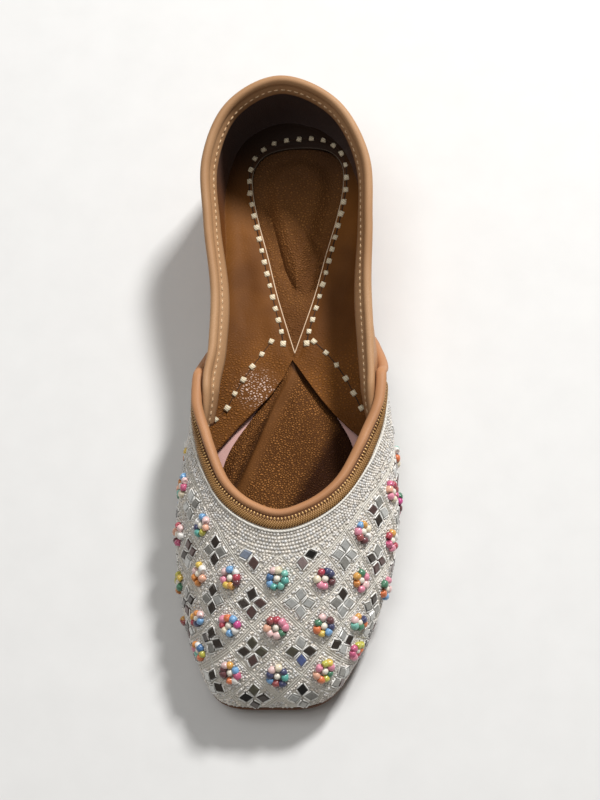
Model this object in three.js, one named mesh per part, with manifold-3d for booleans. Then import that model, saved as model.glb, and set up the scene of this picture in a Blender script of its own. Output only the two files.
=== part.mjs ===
// Mojari shoe for the left foot: a flat leather slipper with an embroidered vamp, a soft quarter
// and a padded insole. Millimetres, +Z up, toe towards -Y, origin on the floor under the middle.

import * as THREE from 'three';
import { mergeVertices } from 'three/addons/utils/BufferGeometryUtils.js';
import Module from 'manifold-3d';

const wasm = await Module();
wasm.setup();

// Driving sizes
const LENGTH = 250;
const BALL_WIDTH = 84;
const HEEL_HEIGHT = 56;
const GAP = 0.3;
const CURVE = { sagitta: 5.5, crown: 55 }; // inward curve of the left last, crown in % of the length

// The sole: flat under heel and ball, hollowed at the waist, lifted at the toe
const SOLE = {
  heelThickness: 5.5,
  toeThickness: 4.2,
  edgeBeyondUpper: 0.6,
  bevel: 1.0,
  toeSpring: 7,
  toeBreak: 21, // where the toe starts to lift, % of the length
  waistFrom: 46,
  waistTo: 70,
  waistRise: 1.5,
};

// Leather and cloth
const QUARTER_WALL = 2.2;
const VAMP_WALL = 2.4;
const SEAM_SINK = 0.8; // how far the vamp is sewn into the quarter
const BINDING = { thickness: 0.9, roll: 1.7, throatFlange: 1.8, collarFlange: 6.0 };
const BRAID = { width: 3.5, thickness: 1.0, reach: 0.92 };
const INSOLE = { thickness: 2.5, inset: 0.4 };
const SOCK = { thickness: 1.2, outset: 0.2 };
const CUSHION = { edge: 0.8, crown: 2.8 };
const FOREFOOT_PAD = { edge: 1.0, crown: 1.6 };

// Where vamp and quarter end, in rows of the ring table counted from the toe
const VAMP_WING = { ear: 6.62, foot: 7.7, rise: 0.9, lowersFrom: 5.2, cornerRun: 0.34, cornerDrop: 0.17 };
const WING_FLARE = { out: 2.8, from: 4.4, full: 5.6, lowest: 0.3 };
const QUARTER_FRONT = { end: 4.5, dipFrom: 6.0, dipTo: 3.9, boundFrom: 5.5, wrapFrom: 6.7, wrapFull: 7.2 };

// The last, as rings from sole to top edge. One row for each section, toe centre to heel centre.
// Along: % of LENGTH from the toe. Half, out: % of BALL_WIDTH. Height, up, drop: % of HEEL_HEIGHT.
// Reach: % of the way back from the top edge to the sole edge where the wall's upper handle stands.
const RING_COLUMNS = [
  'footAlong', 'footHalf', 'topAlong', 'topHalf', 'topHeight', 'bellyOut', 'bellyUp', 'topReach', 'topDrop',
];
const RING_ROWS = [
  [2.0, 0.0, 27.2, 0.0, 77.7, 3.6, 16.0, 55, 19.6], // toe centre
  [2.8, 20.6, 28.4, 11.3, 77.1, 4.2, 17.0, 55, 18.8], // toe corner
  [7.6, 33.0, 30.6, 20.2, 75.4, 6.0, 19.6, 52, 17.0], // toe side
  [15.6, 40.9, 33.6, 26.8, 72.9, 8.3, 23.2, 48, 14.3], // in front of the ball
  [25.2, 43.4, 38.0, 31.5, 69.6, 9.5, 26.8, 42, 12.5], // ball
  [34.8, 41.6, 43.2, 35.5, 66.4, 9.5, 26.8, 35, 14.3], // behind the ball
  [44.4, 38.7, 48.8, 37.1, 64.8, 7.7, 25.0, 30, 17.9], // in front of the ear
  [54.0, 35.1, 55.2, 36.4, 65.4, 6.0, 23.2, 30, 19.6], // ear
  [64.4, 32.1, 65.2, 35.5, 69.6, 4.2, 23.2, 40, 21.4], // waist
  [75.2, 31.5, 75.6, 37.1, 76.8, 4.2, 25.0, 50, 23.2], // in front of the heel
  [86.0, 31.0, 85.6, 36.9, 84.8, 4.8, 26.8, 50, 25.0], // heel side
  [94.8, 21.4, 94.0, 24.4, 92.9, 5.4, 28.6, 30, 28.6], // heel corner
  [98.2, 0.0, 97.6, 0.0, 98.2, 6.0, 30.4, 50, 32.1], // heel centre
];

// Outlines on the insole, tip first
const OUTLINE_COLUMNS = ['along', 'half'];
const HEEL_WINDOW_ROWS = [
  [58.2, 0.0], // tip
  [58.8, 0.7],
  [64.4, 6.3],
  [71.2, 11.2],
  [80.2, 18.5],
  [86.4, 21.6], // widest
  [90.8, 16.8],
  [93.2, 0.0], // back
];
const FOREFOOT_PAD_ROWS = [
  [56.6, 0.0], // tip
  [55.8, 1.4],
  [47.4, 18.6],
  [41.2, 28.0],
  [32.0, 35.0],
  [20.0, 37.2],
  [10.0, 29.0],
  [5.2, 16.0],
  [4.0, 0.0], // under the toe
];
const CHEVRON = { tipAlong: 57.4, slope: 1.25 }; // the sock's notched front edge

// How finely the pieces are faceted
const RING_STEPS = 96;
const PAD_STEPS = 48;
const VAMP_ROWS = 12;
const VAMP_COLUMN_STEP = 0.25;
const VAMP_CORNER_COLUMNS = 5;
const QUARTER_ROWS = 10;
const QUARTER_COLUMN_STEP = 0.25;
const REAR_EDGE_STEPS = 7;

const MATERIALS = {
  soleLeather: new THREE.MeshStandardMaterial({ color: 0x8a5a36, roughness: 0.75, metalness: 0 }),
  embroidery: new THREE.MeshStandardMaterial({ color: 0xc4c2b8, roughness: 0.5, metalness: 0.1 }),
  tanLeather: new THREE.MeshStandardMaterial({ color: 0xb8854f, roughness: 0.5, metalness: 0 }),
  goldBraid: new THREE.MeshStandardMaterial({ color: 0xa8803c, roughness: 0.4, metalness: 0.5 }),
  liningPaper: new THREE.MeshStandardMaterial({ color: 0xd9a9a0, roughness: 0.8, metalness: 0 }),
  brownLeather: new THREE.MeshStandardMaterial({ color: 0x6f4020, roughness: 0.55, metalness: 0 }),
};

const clamp01 = (x) => Math.min(1, Math.max(0, x));
const mix = (a, b, t) => a + (b - a) * t;
const ramp = (from, to, x) => {
  const t = clamp01((x - from) / (to - from));
  return t * t * (3 - 2 * t);
};
const alongToY = (share) => (share / 100 - 0.5) * LENGTH;
const yToAlong = (y) => (y / LENGTH + 0.5) * 100;

// A table of one side's rows becomes a closed ring, mirrored past the last row, with smooth values between.
function ringTable(columns, rows) {
  const last = rows.length - 1;
  const turn = 2 * last;
  const rowValue = (index, column, signed) => {
    const k = ((index % turn) + turn) % turn;
    const value = rows[k > last ? turn - k : k][column];
    return signed && k > last ? -value : value;
  };
  const value = (name, at) => {
    const column = columns.indexOf(name);
    const signed = name.toLowerCase().endsWith('half');
    const i = Math.floor(at);
    const t = at - i;
    const [a, b, c, d] = [-1, 0, 1, 2].map((step) => rowValue(i + step, column, signed));
    return b + 0.5 * t * (c - a + t * (2 * a - 5 * b + 4 * c - d + t * (3 * (b - c) + d - a)));
  };
  return { value, turn, last };
}

const ring = ringTable(RING_COLUMNS, RING_ROWS);
const heelWindow = ringTable(OUTLINE_COLUMNS, HEEL_WINDOW_ROWS);
const forefootOutline = ringTable(OUTLINE_COLUMNS, FOREFOOT_PAD_ROWS);

// Rows from the toe at a ring position, the same on both sides
const rowsFromToe = (at) => {
  const k = ((at % ring.turn) + ring.turn) % ring.turn;
  return Math.min(k, ring.turn - k);
};

// The left last curves inwards at toe and heel.
function curveShift(y) {
  const t = (y - alongToY(CURVE.crown)) / (LENGTH / 2);
  return CURVE.sagitta * (1 - t * t);
}

function soleBottom(y) {
  const along = yToAlong(y);
  const lift = clamp01((SOLE.toeBreak - along) / SOLE.toeBreak);
  const waist = clamp01((along - SOLE.waistFrom) / (SOLE.waistTo - SOLE.waistFrom));
  return SOLE.toeSpring * lift * lift + SOLE.waistRise * Math.sin(Math.PI * waist) ** 2;
}

function soleTop(y) {
  const share = ramp(SOLE.waistFrom, SOLE.waistTo, yToAlong(y));
  return soleBottom(y) + mix(SOLE.toeThickness, SOLE.heelThickness, share);
}

const footPoint = (at) => new THREE.Vector2(
  (ring.value('footHalf', at) / 100) * BALL_WIDTH,
  alongToY(ring.value('footAlong', at)),
);

// Horizontal direction out of the foot's outline
function outwardAt(at) {
  const step = 0.02;
  const run = footPoint(at + step).sub(footPoint(at - step)).normalize();
  return new THREE.Vector2(run.y, -run.x);
}

// The last's surface: a ring position and a rise from 0 at the sole to 1 at the top edge
function lastPoint(at, rise) {
  const share = (name) => ring.value(name, at) / 100;
  const foot = footPoint(at);
  const out = outwardAt(at).multiplyScalar(share('bellyOut') * BALL_WIDTH);
  const top = new THREE.Vector2(share('topHalf') * BALL_WIDTH, alongToY(ring.value('topAlong', at)));
  const back = foot.clone().sub(top).multiplyScalar(share('topReach'));
  const footZ = soleTop(foot.y) + GAP;
  const topZ = share('topHeight') * HEEL_HEIGHT;
  const wall = new THREE.CubicBezierCurve3(
    new THREE.Vector3(foot.x, foot.y, footZ),
    new THREE.Vector3(foot.x + out.x, foot.y + out.y, footZ + share('bellyUp') * HEEL_HEIGHT),
    new THREE.Vector3(top.x + back.x, top.y + back.y, topZ - share('topDrop') * HEEL_HEIGHT),
    new THREE.Vector3(top.x, top.y, topZ),
  );
  const point = wall.getPoint(rise);
  point.x += curveShift(point.y);
  return point;
}

function lastNormal(at, rise) {
  const step = 0.01;
  const around = lastPoint(at + step, rise).sub(lastPoint(at - step, rise));
  const up = lastPoint(at, rise + step).sub(lastPoint(at, rise - step));
  return around.cross(up).normalize();
}

// A point off the last's surface along its normal, kept clear of the sole
function wallPoint(at, rise, offset) {
  const point = lastPoint(at, rise).addScaledVector(lastNormal(at, rise), offset);
  point.z = Math.max(point.z, soleTop(point.y) + GAP);
  return point;
}

// Ring position and rise reached by going some millimetres over the last in a direction that lies on it
function slide(at, rise, direction, distance) {
  const step = 0.01;
  const around = lastPoint(at + step, rise).sub(lastPoint(at - step, rise)).divideScalar(2 * step);
  const up = lastPoint(at, rise + step).sub(lastPoint(at, rise - step)).divideScalar(2 * step);
  const [aroundAround, aroundUp, upUp] = [around.dot(around), around.dot(up), up.dot(up)];
  const [alongAround, alongUp] = [direction.dot(around), direction.dot(up)];
  const scale = distance / (aroundAround * upUp - aroundUp * aroundUp);
  return {
    at: at + scale * (alongAround * upUp - alongUp * aroundUp),
    rise: rise + scale * (alongUp * aroundAround - alongAround * aroundUp),
  };
}

// The vamp's top edge lowers towards the ear and ends in a round corner.
function vampTop(at) {
  const rows = Math.abs(at);
  const slope = (1 - VAMP_WING.rise) * ramp(VAMP_WING.lowersFrom, VAMP_WING.ear, rows);
  const corner = clamp01((rows - VAMP_WING.ear + VAMP_WING.cornerRun) / VAMP_WING.cornerRun);
  return 1 - slope - VAMP_WING.cornerDrop * corner * corner;
}

// Ring position and rise of a vamp grid point; side runs from -1 at the left ear to 1 at the right ear.
function vampPlace(side, height) {
  const at = side * mix(VAMP_WING.foot, VAMP_WING.ear, height);
  return { at, rise: height * vampTop(side * VAMP_WING.ear) };
}

// The vamp lies over the quarter's front ends and stands off their edges.
function vampInner(at, height) {
  const rows = Math.abs(at);
  const over = (QUARTER_WALL - SEAM_SINK) * ramp(QUARTER_FRONT.end - 1.5, QUARTER_FRONT.end, rows);
  const flare = ramp(WING_FLARE.from, WING_FLARE.full, rows) * ramp(WING_FLARE.lowest, 1, height);
  return over + WING_FLARE.out * flare;
}

const quarterTop = (at) => ramp(QUARTER_FRONT.dipTo, QUARTER_FRONT.dipFrom, rowsFromToe(at));

function geometryOf(points, triangles) {
  const geometry = new THREE.BufferGeometry();
  geometry.setAttribute('position', new THREE.Float32BufferAttribute(points.flatMap((p) => [p.x, p.y, p.z]), 3));
  geometry.setIndex(triangles.flat());
  return geometry;
}

const quad = (a, b, c, d) => [a, b, c, a, c, d];

// A wall between an inner and an outer grid of points, closed along its four rims
function wallGeometry(columns, rows, pointAt) {
  const points = [];
  const id = (column, row, layer) => (layer * columns + column) * rows + row;
  for (const layer of [0, 1]) {
    for (let i = 0; i < columns; i += 1) {
      for (let j = 0; j < rows; j += 1) points.push(pointAt(i, j, layer));
    }
  }
  const faces = [];
  const rim = (a, b) => faces.push(quad(id(...a, 1), id(...b, 1), id(...b, 0), id(...a, 0)));
  for (let i = 0; i + 1 < columns; i += 1) {
    for (let j = 0; j + 1 < rows; j += 1) {
      faces.push(quad(id(i, j, 1), id(i + 1, j, 1), id(i + 1, j + 1, 1), id(i, j + 1, 1)));
      faces.push(quad(id(i, j, 0), id(i, j + 1, 0), id(i + 1, j + 1, 0), id(i + 1, j, 0)));
    }
    rim([i + 1, 0], [i, 0]);
    rim([i, rows - 1], [i + 1, rows - 1]);
  }
  for (let j = 0; j + 1 < rows; j += 1) {
    rim([0, j], [0, j + 1]);
    rim([columns - 1, j + 1], [columns - 1, j]);
  }
  return geometryOf(points, faces);
}

// A strip along a path: one closed section of points for each step, with flat ends
function stripGeometry(sections, flatSection) {
  const count = sections[0].length;
  const faces = [];
  for (let k = 0; k + 1 < sections.length; k += 1) {
    for (let p = 0; p < count; p += 1) {
      const next = (p + 1) % count;
      faces.push(quad(k * count + p, k * count + next, (k + 1) * count + next, (k + 1) * count + p));
    }
  }
  const end = (sections.length - 1) * count;
  const clockwise = THREE.ShapeUtils.isClockWise(flatSection);
  for (const face of THREE.ShapeUtils.triangulateShape(flatSection, [])) {
    const [a, b, c] = clockwise ? face : face.reverse();
    faces.push([a, b, c]);
    faces.push([end + c, end + b, end + a]);
  }
  return geometryOf(sections.flat(), faces);
}

// A solid stacked from rings of one outline, bottom ring first. Rings start at the tip, and left and
// right points pair up, so the first and last ring close as strips across.
function stackGeometry(rings) {
  const count = rings[0].length;
  const faces = [];
  for (let level = 0; level + 1 < rings.length; level += 1) {
    for (let k = 0; k < count; k += 1) {
      const next = (k + 1) % count;
      const [low, high] = [level * count, (level + 1) * count];
      faces.push(quad(low + k, low + next, high + next, high + k));
    }
  }
  const cap = (base, flip) => {
    for (let k = 0; k < count / 2; k += 1) {
      const [a, b] = [k, k + 1];
      const [c, d] = [(count - k - 1) % count, (count - k) % count];
      const corners = [[a, b, c], [a, c, d]].filter((face) => new Set(face).size === 3);
      for (const face of corners) faces.push((flip ? face.reverse() : face).map((corner) => base + corner));
    }
  };
  cap(0, true);
  cap((rings.length - 1) * count, false);
  return geometryOf(rings.flat(), faces);
}

function solidOf(geometry) {
  const bare = geometry.clone();
  bare.deleteAttribute('normal');
  bare.deleteAttribute('uv');
  const merged = mergeVertices(bare, 1e-4);
  return new wasm.Manifold(new wasm.Mesh({
    numProp: 3,
    vertProperties: merged.getAttribute('position').array,
    triVerts: new Uint32Array(merged.index.array),
  }));
}

function geometryOfSolid(solid) {
  const { vertProperties, triVerts } = solid.getMesh();
  const geometry = new THREE.BufferGeometry();
  geometry.setAttribute('position', new THREE.BufferAttribute(vertProperties, 3));
  geometry.setIndex(new THREE.BufferAttribute(triVerts, 1));
  return geometry;
}

// Columns of the vamp from ear to ear, closer together round the ears' corners
function vampSides() {
  const right = [];
  const cornerStart = VAMP_WING.ear - VAMP_WING.cornerRun;
  for (let rows = VAMP_COLUMN_STEP; rows < cornerStart - VAMP_COLUMN_STEP / 2; rows += VAMP_COLUMN_STEP) {
    right.push(rows);
  }
  for (let k = 0; k <= VAMP_CORNER_COLUMNS; k += 1) {
    right.push(cornerStart + VAMP_WING.cornerRun * Math.sin((k / VAMP_CORNER_COLUMNS) * (Math.PI / 2)));
  }
  const left = right.map((rows) => -rows).reverse();
  return [...left, 0, ...right].map((rows) => rows / VAMP_WING.ear);
}

function vampGeometry() {
  const sides = vampSides();
  return wallGeometry(sides.length, VAMP_ROWS + 1, (i, j, layer) => {
    const height = j / VAMP_ROWS;
    const { at, rise } = vampPlace(sides[i], height);
    return wallPoint(at, rise, vampInner(at, height) + layer * VAMP_WALL);
  });
}

// Ring positions round the heel, from some rows short of the toe on one side to as many on the other
function heelPositions(rows) {
  const count = Math.round((ring.turn - 2 * rows) / QUARTER_COLUMN_STEP);
  return Array.from({ length: count + 1 }, (_, k) => rows + k * QUARTER_COLUMN_STEP);
}

function quarterGeometry() {
  const positions = heelPositions(QUARTER_FRONT.end);
  return wallGeometry(positions.length, QUARTER_ROWS + 1, (i, j, layer) => {
    const rise = (j / QUARTER_ROWS) * quarterTop(positions[i]);
    return wallPoint(positions[i], rise, layer * QUARTER_WALL);
  });
}

// The upper is the quarter with the vamp sewn over its front ends.
const upperGeometry = () => geometryOfSolid(solidOf(quarterGeometry()).add(solidOf(vampGeometry())));

// Corners of an edge binding: a flange on one face of the wall and a roll over its edge.
// In is millimetres into the wall from its edge; out is the offset from the last.
function bindingCorners(face, far, flange, sign) {
  const skin = face + sign * GAP;
  const cover = skin + sign * BINDING.thickness;
  const top = -GAP - BINDING.roll;
  return [
    { in: flange, out: skin },
    { in: flange, out: cover },
    { in: -0.3 * BINDING.roll, out: cover },
    { in: 0.7 * top, out: mix(cover, far, 0.12) },
    { in: top, out: mix(cover, far, 0.38) },
    { in: top, out: mix(cover, far, 0.68) },
    { in: 0.7 * top, out: mix(cover, far, 0.94) },
    { in: -GAP, out: far },
    { in: -GAP, out: skin },
  ];
}

// Directions along an edge's steps and into the wall from it
function edgeFrames(steps) {
  const edge = steps.map(({ at, rise, middle }) => wallPoint(at, rise, middle));
  return steps.map(({ at, rise }, k) => {
    const run = edge[Math.min(k + 1, edge.length - 1)].clone().sub(edge[Math.max(k - 1, 0)]).normalize();
    const normal = lastNormal(at, rise);
    return { normal, inwards: normal.clone().cross(run).normalize() };
  });
}

// Places binding corners along an edge. Each step has a ring position, a rise and its corners.
function bindingStrip(steps) {
  const frames = edgeFrames(steps);
  const sections = steps.map(({ at, rise, corners }, k) => {
    const { normal, inwards } = frames[k];
    return corners.map((corner) => {
      if (corner.in > 0) {
        const place = slide(at, rise, inwards, corner.in);
        return wallPoint(place.at, place.rise, corner.out);
      }
      return lastPoint(at, rise).addScaledVector(normal, corner.out).addScaledVector(inwards, corner.in);
    });
  });
  const flatSection = steps[0].corners.map((corner) => new THREE.Vector2(corner.in, corner.out));
  return facingOut(stripGeometry(sections, flatSection));
}

// Turns a closed geometry's faces round if they point inwards.
function facingOut(geometry) {
  const position = geometry.getAttribute('position');
  const index = geometry.index.array;
  const corner = (k) => new THREE.Vector3().fromBufferAttribute(position, index[k]);
  let volume = 0;
  for (let k = 0; k < index.length; k += 3) volume += corner(k).dot(corner(k + 1).cross(corner(k + 2)));
  if (volume > 0) return geometry;
  for (let k = 0; k < index.length; k += 3) [index[k + 1], index[k + 2]] = [index[k + 2], index[k + 1]];
  return geometry;
}

// Tan binding on the vamp's free edge: up one rear edge, round the throat and down the other
function throatBindingGeometry() {
  const sides = vampSides().reverse();
  const lowest = 0.16;
  const heights = Array.from({ length: REAR_EDGE_STEPS }, (_, k) => mix(lowest, 1, k / REAR_EDGE_STEPS));
  const places = [
    ...heights.map((height) => ({ side: 1, height })),
    ...sides.map((side) => ({ side, height: 1 })),
    ...heights.reverse().map((height) => ({ side: -1, height })),
  ];
  return bindingStrip(places.map(({ side, height }) => {
    const { at, rise } = vampPlace(side, height);
    const inner = vampInner(at, height);
    const outer = inner + VAMP_WALL;
    const far = Math.abs(at) > QUARTER_FRONT.end ? Math.max(inner, QUARTER_WALL + GAP) : inner;
    return { at, rise, middle: (inner + outer) / 2, corners: bindingCorners(outer, far, BINDING.throatFlange, 1) };
  }));
}

// Tan binding on the quarter's collar, flange inside, wrapped outwards behind the vamp's ears
function collarBindingGeometry() {
  return bindingStrip(heelPositions(QUARTER_FRONT.boundFrom).reverse().map((at) => {
    const wrap = ramp(QUARTER_FRONT.wrapFrom, QUARTER_FRONT.wrapFull, rowsFromToe(at));
    const far = QUARTER_WALL + wrap * BINDING.thickness;
    const corners = bindingCorners(0, far, BINDING.collarFlange, -1);
    return { at, rise: quarterTop(at), middle: QUARTER_WALL / 2, corners };
  }));
}

// Gold braid round the throat, just outside the binding
function throatBraidGeometry() {
  const near = BINDING.throatFlange + GAP;
  const sides = vampSides().reverse().filter((side) => Math.abs(side) < BRAID.reach);
  const steps = sides.map((side) => ({ ...vampPlace(side, 1), middle: vampInner(side * VAMP_WING.ear, 1) }));
  const frames = edgeFrames(steps);
  const sections = steps.map(({ at, rise }, k) => {
    const corner = (millimetres, lift) => {
      const place = slide(at, rise, frames[k].inwards, millimetres);
      const inner = vampInner(place.at, place.rise / vampTop(place.at));
      return wallPoint(place.at, place.rise, inner + VAMP_WALL + GAP + lift);
    };
    return [
      corner(near + BRAID.width, 0),
      corner(near + BRAID.width, BRAID.thickness),
      corner(near + BRAID.width / 2, BRAID.thickness),
      corner(near, BRAID.thickness),
      corner(near, 0),
      corner(near + BRAID.width / 2, 0),
    ];
  });
  const flatSection = [[0, 0], [0, 1], [1, 1], [2, 1], [2, 0], [1, 0]].map(([x, y]) => new THREE.Vector2(x, y));
  return facingOut(stripGeometry(sections, flatSection));
}

// A ring of points round the foot's outline, pushed out by a margin, at a height that follows the sole
function footRing(margin, heightAt) {
  return Array.from({ length: RING_STEPS }, (_, k) => {
    const at = (ring.turn * k) / RING_STEPS;
    const plan = footPoint(at).addScaledVector(outwardAt(at), margin);
    return new THREE.Vector3(plan.x + curveShift(plan.y), plan.y, heightAt(plan.y));
  });
}

function outsoleGeometry() {
  const margin = VAMP_WALL + SOLE.edgeBeyondUpper;
  return facingOut(stackGeometry([
    footRing(margin - SOLE.bevel, soleBottom),
    footRing(margin, (y) => soleBottom(y) + SOLE.bevel),
    footRing(margin, (y) => soleTop(y) - SOLE.bevel / 2),
    footRing(margin - SOLE.bevel / 2, soleTop),
  ]));
}

// A flat layer on the sole, from one height above it to another
function footLayer(margin, from, to) {
  return facingOut(stackGeometry([
    footRing(margin, (y) => soleTop(y) + from),
    footRing(margin, (y) => soleTop(y) + to),
  ]));
}

const INSOLE_TOP = GAP + INSOLE.thickness;
const insoleGeometry = () => footLayer(-INSOLE.inset, GAP, INSOLE_TOP);

// Plan points of an outline on the insole, drawn in by a share towards its middle line
function outlinePlan(outline, shrink = 0) {
  const middle = (outline.value('along', 0) + outline.value('along', outline.last)) / 2;
  return Array.from({ length: PAD_STEPS }, (_, k) => {
    const at = (outline.turn * k) / PAD_STEPS;
    const y = alongToY(mix(outline.value('along', at), middle, shrink * 0.8));
    const half = (outline.value('half', at) / 100) * BALL_WIDTH * (1 - shrink);
    return new THREE.Vector2(half + curveShift(y), y);
  });
}

// A pad with a low edge and a crown that swells towards its middle
function padGeometry(outline, edge, crown, edgeGap) {
  const base = INSOLE_TOP + GAP;
  const level = (shrink, height) => outlinePlan(outline, shrink)
    .map((p) => new THREE.Vector3(p.x, p.y, soleTop(p.y) + base + height));
  const swell = [0.22, 0.4, 0.6, 0.8];
  return facingOut(stackGeometry([
    level(edgeGap, 0),
    level(edgeGap, edge),
    ...swell.map((shrink) => level(shrink, mix(edge, crown, ramp(0.1, 0.85, shrink)))),
  ]));
}

// The sock covers heel and waist. Its front is notched for the forefoot pad, and a window shows the cushion.
function sockGeometry() {
  const from = INSOLE_TOP + GAP;
  const tall = 60;
  const prism = (plan) => new THREE.ExtrudeGeometry(new THREE.Shape(plan), { depth: tall, bevelEnabled: false });
  const tipY = alongToY(CHEVRON.tipAlong);
  const wide = BALL_WIDTH;
  const tip = new THREE.Vector2(curveShift(tipY), tipY);
  const notch = [
    tip,
    new THREE.Vector2(tip.x - wide, tipY - wide * CHEVRON.slope),
    new THREE.Vector2(tip.x - wide, tipY - 2 * LENGTH),
    new THREE.Vector2(tip.x + wide, tipY - 2 * LENGTH),
    new THREE.Vector2(tip.x + wide, tipY - wide * CHEVRON.slope),
  ];
  const whole = solidOf(footLayer(SOCK.outset, from, from + SOCK.thickness));
  const cut = whole.subtract(solidOf(prism(notch))).subtract(solidOf(prism(outlinePlan(heelWindow))));
  return geometryOfSolid(cut);
}

function node(name, geometry, material) {
  geometry.computeVertexNormals();
  const mesh = new THREE.Mesh(geometry, material);
  mesh.name = name;
  return mesh;
}

const shoe = new THREE.Group();
shoe.add(
  node('outsole', outsoleGeometry(), MATERIALS.soleLeather),
  node('insole', insoleGeometry(), MATERIALS.liningPaper),
  node('sock', sockGeometry(), MATERIALS.brownLeather),
  node('heel_cushion', padGeometry(heelWindow, CUSHION.edge, CUSHION.crown, 0.06), MATERIALS.brownLeather),
  node('forefoot_pad', padGeometry(forefootOutline, FOREFOOT_PAD.edge, FOREFOOT_PAD.crown, 0.04),
    MATERIALS.brownLeather),
  node('upper', upperGeometry(), MATERIALS.embroidery),
  node('throat_binding', throatBindingGeometry(), MATERIALS.tanLeather),
  node('collar_binding', collarBindingGeometry(), MATERIALS.tanLeather),
  node('throat_braid', throatBraidGeometry(), MATERIALS.goldBraid),
);

// The origin stands under the middle of the whole shoe.
const middle = new THREE.Box3().setFromObject(shoe).getCenter(new THREE.Vector3());
shoe.position.set(-middle.x, -middle.y, 0);

const mojari = new THREE.Group();
mojari.add(shoe);

export default mojari;
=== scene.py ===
# %% [markdown]
# # A mojari shoe for the left foot
# A mojari is a flat slipper of soft leather. Its vamp is worked all over with silver beads, small
# mirrors and clusters of coloured beads, and its inside is padded leather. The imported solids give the
# form, and this lesson dresses them: each piece below stands for a solid, at the same place and size.

# %% Load the frame
import math

import bmesh
import bpy
import numpy as np
from mathutils import Matrix, Vector
from mathutils.bvhtree import BVHTree
from mathutils.kdtree import KDTree


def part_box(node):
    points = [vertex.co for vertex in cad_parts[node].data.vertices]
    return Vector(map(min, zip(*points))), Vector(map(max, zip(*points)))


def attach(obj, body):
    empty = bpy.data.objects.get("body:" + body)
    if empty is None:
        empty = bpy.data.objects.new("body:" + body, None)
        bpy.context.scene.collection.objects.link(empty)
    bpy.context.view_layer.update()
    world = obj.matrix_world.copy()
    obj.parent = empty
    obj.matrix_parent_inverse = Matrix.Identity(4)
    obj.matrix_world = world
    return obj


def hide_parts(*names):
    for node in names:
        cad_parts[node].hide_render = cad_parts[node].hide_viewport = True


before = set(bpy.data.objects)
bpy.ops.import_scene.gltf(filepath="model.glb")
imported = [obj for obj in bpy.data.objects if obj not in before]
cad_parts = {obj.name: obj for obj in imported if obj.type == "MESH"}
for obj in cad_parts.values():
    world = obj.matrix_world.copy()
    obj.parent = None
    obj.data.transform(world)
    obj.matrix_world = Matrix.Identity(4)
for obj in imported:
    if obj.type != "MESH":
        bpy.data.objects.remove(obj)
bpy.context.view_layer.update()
MM = 0.001
scene = bpy.context.scene
print("nodes:", sorted(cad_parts))

# %% [markdown]
# ## Camera
# The photo looks down on the shoe from the toe's side, leaning a little to the outer side. A camera can
# be aimed by a constraint or by hand. Here two angles, a roll and a distance say where it is, because
# each can be changed alone until the render's outline lies on the photo's.

# %% Camera
VIEW_ELEVATION = math.radians(70)
VIEW_LEAN = math.radians(5)
VIEW_ROLL = math.radians(1)
VIEW_DISTANCE = 0.6735
VIEW_AIM = Vector((0.0045, -0.005, 0.020))
FOCAL_PIXELS = 1705
LONG_SIDE_PIXELS = 800
SENSOR_SIZE = 36


def camera_matrix():
    """The camera's place and turn from the view angles."""
    level = math.cos(VIEW_ELEVATION) * math.cos(VIEW_LEAN)
    back = Vector((math.sin(VIEW_LEAN), -level, math.sin(VIEW_ELEVATION) * math.cos(VIEW_LEAN)))
    right = (-back).cross(Vector((0, 1, 0))).normalized()
    up = right.cross(-back)
    turn, tilt = math.cos(VIEW_ROLL), math.sin(VIEW_ROLL)
    right, up = right * turn + up * tilt, up * turn - right * tilt
    place = VIEW_AIM + back * VIEW_DISTANCE
    columns = [right.to_4d(), up.to_4d(), back.to_4d(), place.to_4d()]
    matrix = Matrix(columns).transposed()
    matrix[3] = (0, 0, 0, 1)
    return matrix


camera_data = bpy.data.cameras.new("camera")
camera_data.sensor_width = SENSOR_SIZE
camera_data.lens = FOCAL_PIXELS / LONG_SIDE_PIXELS * SENSOR_SIZE
camera = bpy.data.objects.new("camera", camera_data)
scene.collection.objects.link(camera)
camera.matrix_world = camera_matrix()
scene.camera = camera
print("lens:", round(camera_data.lens, 1), "mm")

# %% [markdown]
# ## Shader helpers
# A material is a net of nodes. Written out node by node, it hides what it does. So a small class holds
# the output of one node, and plain sums and products of it add Math nodes. A second class holds the
# material, and feeds such values to its one Principled shader.

# %% Shader helpers
WAVE_PITCH = 0.31  # from stripe to stripe of a wave texture at scale 1


def add_node(tree, kind, settings, sockets):
    """Adds a node, first with its settings and then with the values or links of its sockets."""
    made = tree.nodes.new(kind)
    for name, value in settings.items():
        setattr(made, name, value)
    for key, value in sockets.items():
        source = getattr(value, "socket", value)
        if isinstance(source, bpy.types.NodeSocket):
            tree.links.new(source, made.inputs[key])
        else:
            made.inputs[key].default_value = value
    return made


class Wire:
    """A shader value. Operators on it add Math nodes."""

    def __init__(self, finish, socket):
        self.finish = finish
        self.socket = socket

    def maths(self, operation, first, second):
        return self.finish.node("ShaderNodeMath", {"operation": operation}, {0: first, 1: second})

    def __add__(self, other):
        return self.maths("ADD", self, other)

    def __sub__(self, other):
        return self.maths("SUBTRACT", self, other)

    def __rsub__(self, other):
        return self.maths("SUBTRACT", other, self)

    def __mul__(self, other):
        return self.maths("MULTIPLY", self, other)

    def __pow__(self, other):
        return self.maths("POWER", self, other)

    __radd__ = __add__
    __rmul__ = __mul__

    def ramp(self, low, high, start=0.0, end=1.0):
        """Goes smoothly from start to end while the value goes from low to high."""
        return self.finish.node(
            "ShaderNodeMapRange",
            {"interpolation_type": "SMOOTHSTEP"},
            {"Value": self, "From Min": low, "From Max": high, "To Min": start, "To Max": end},
        )


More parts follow.
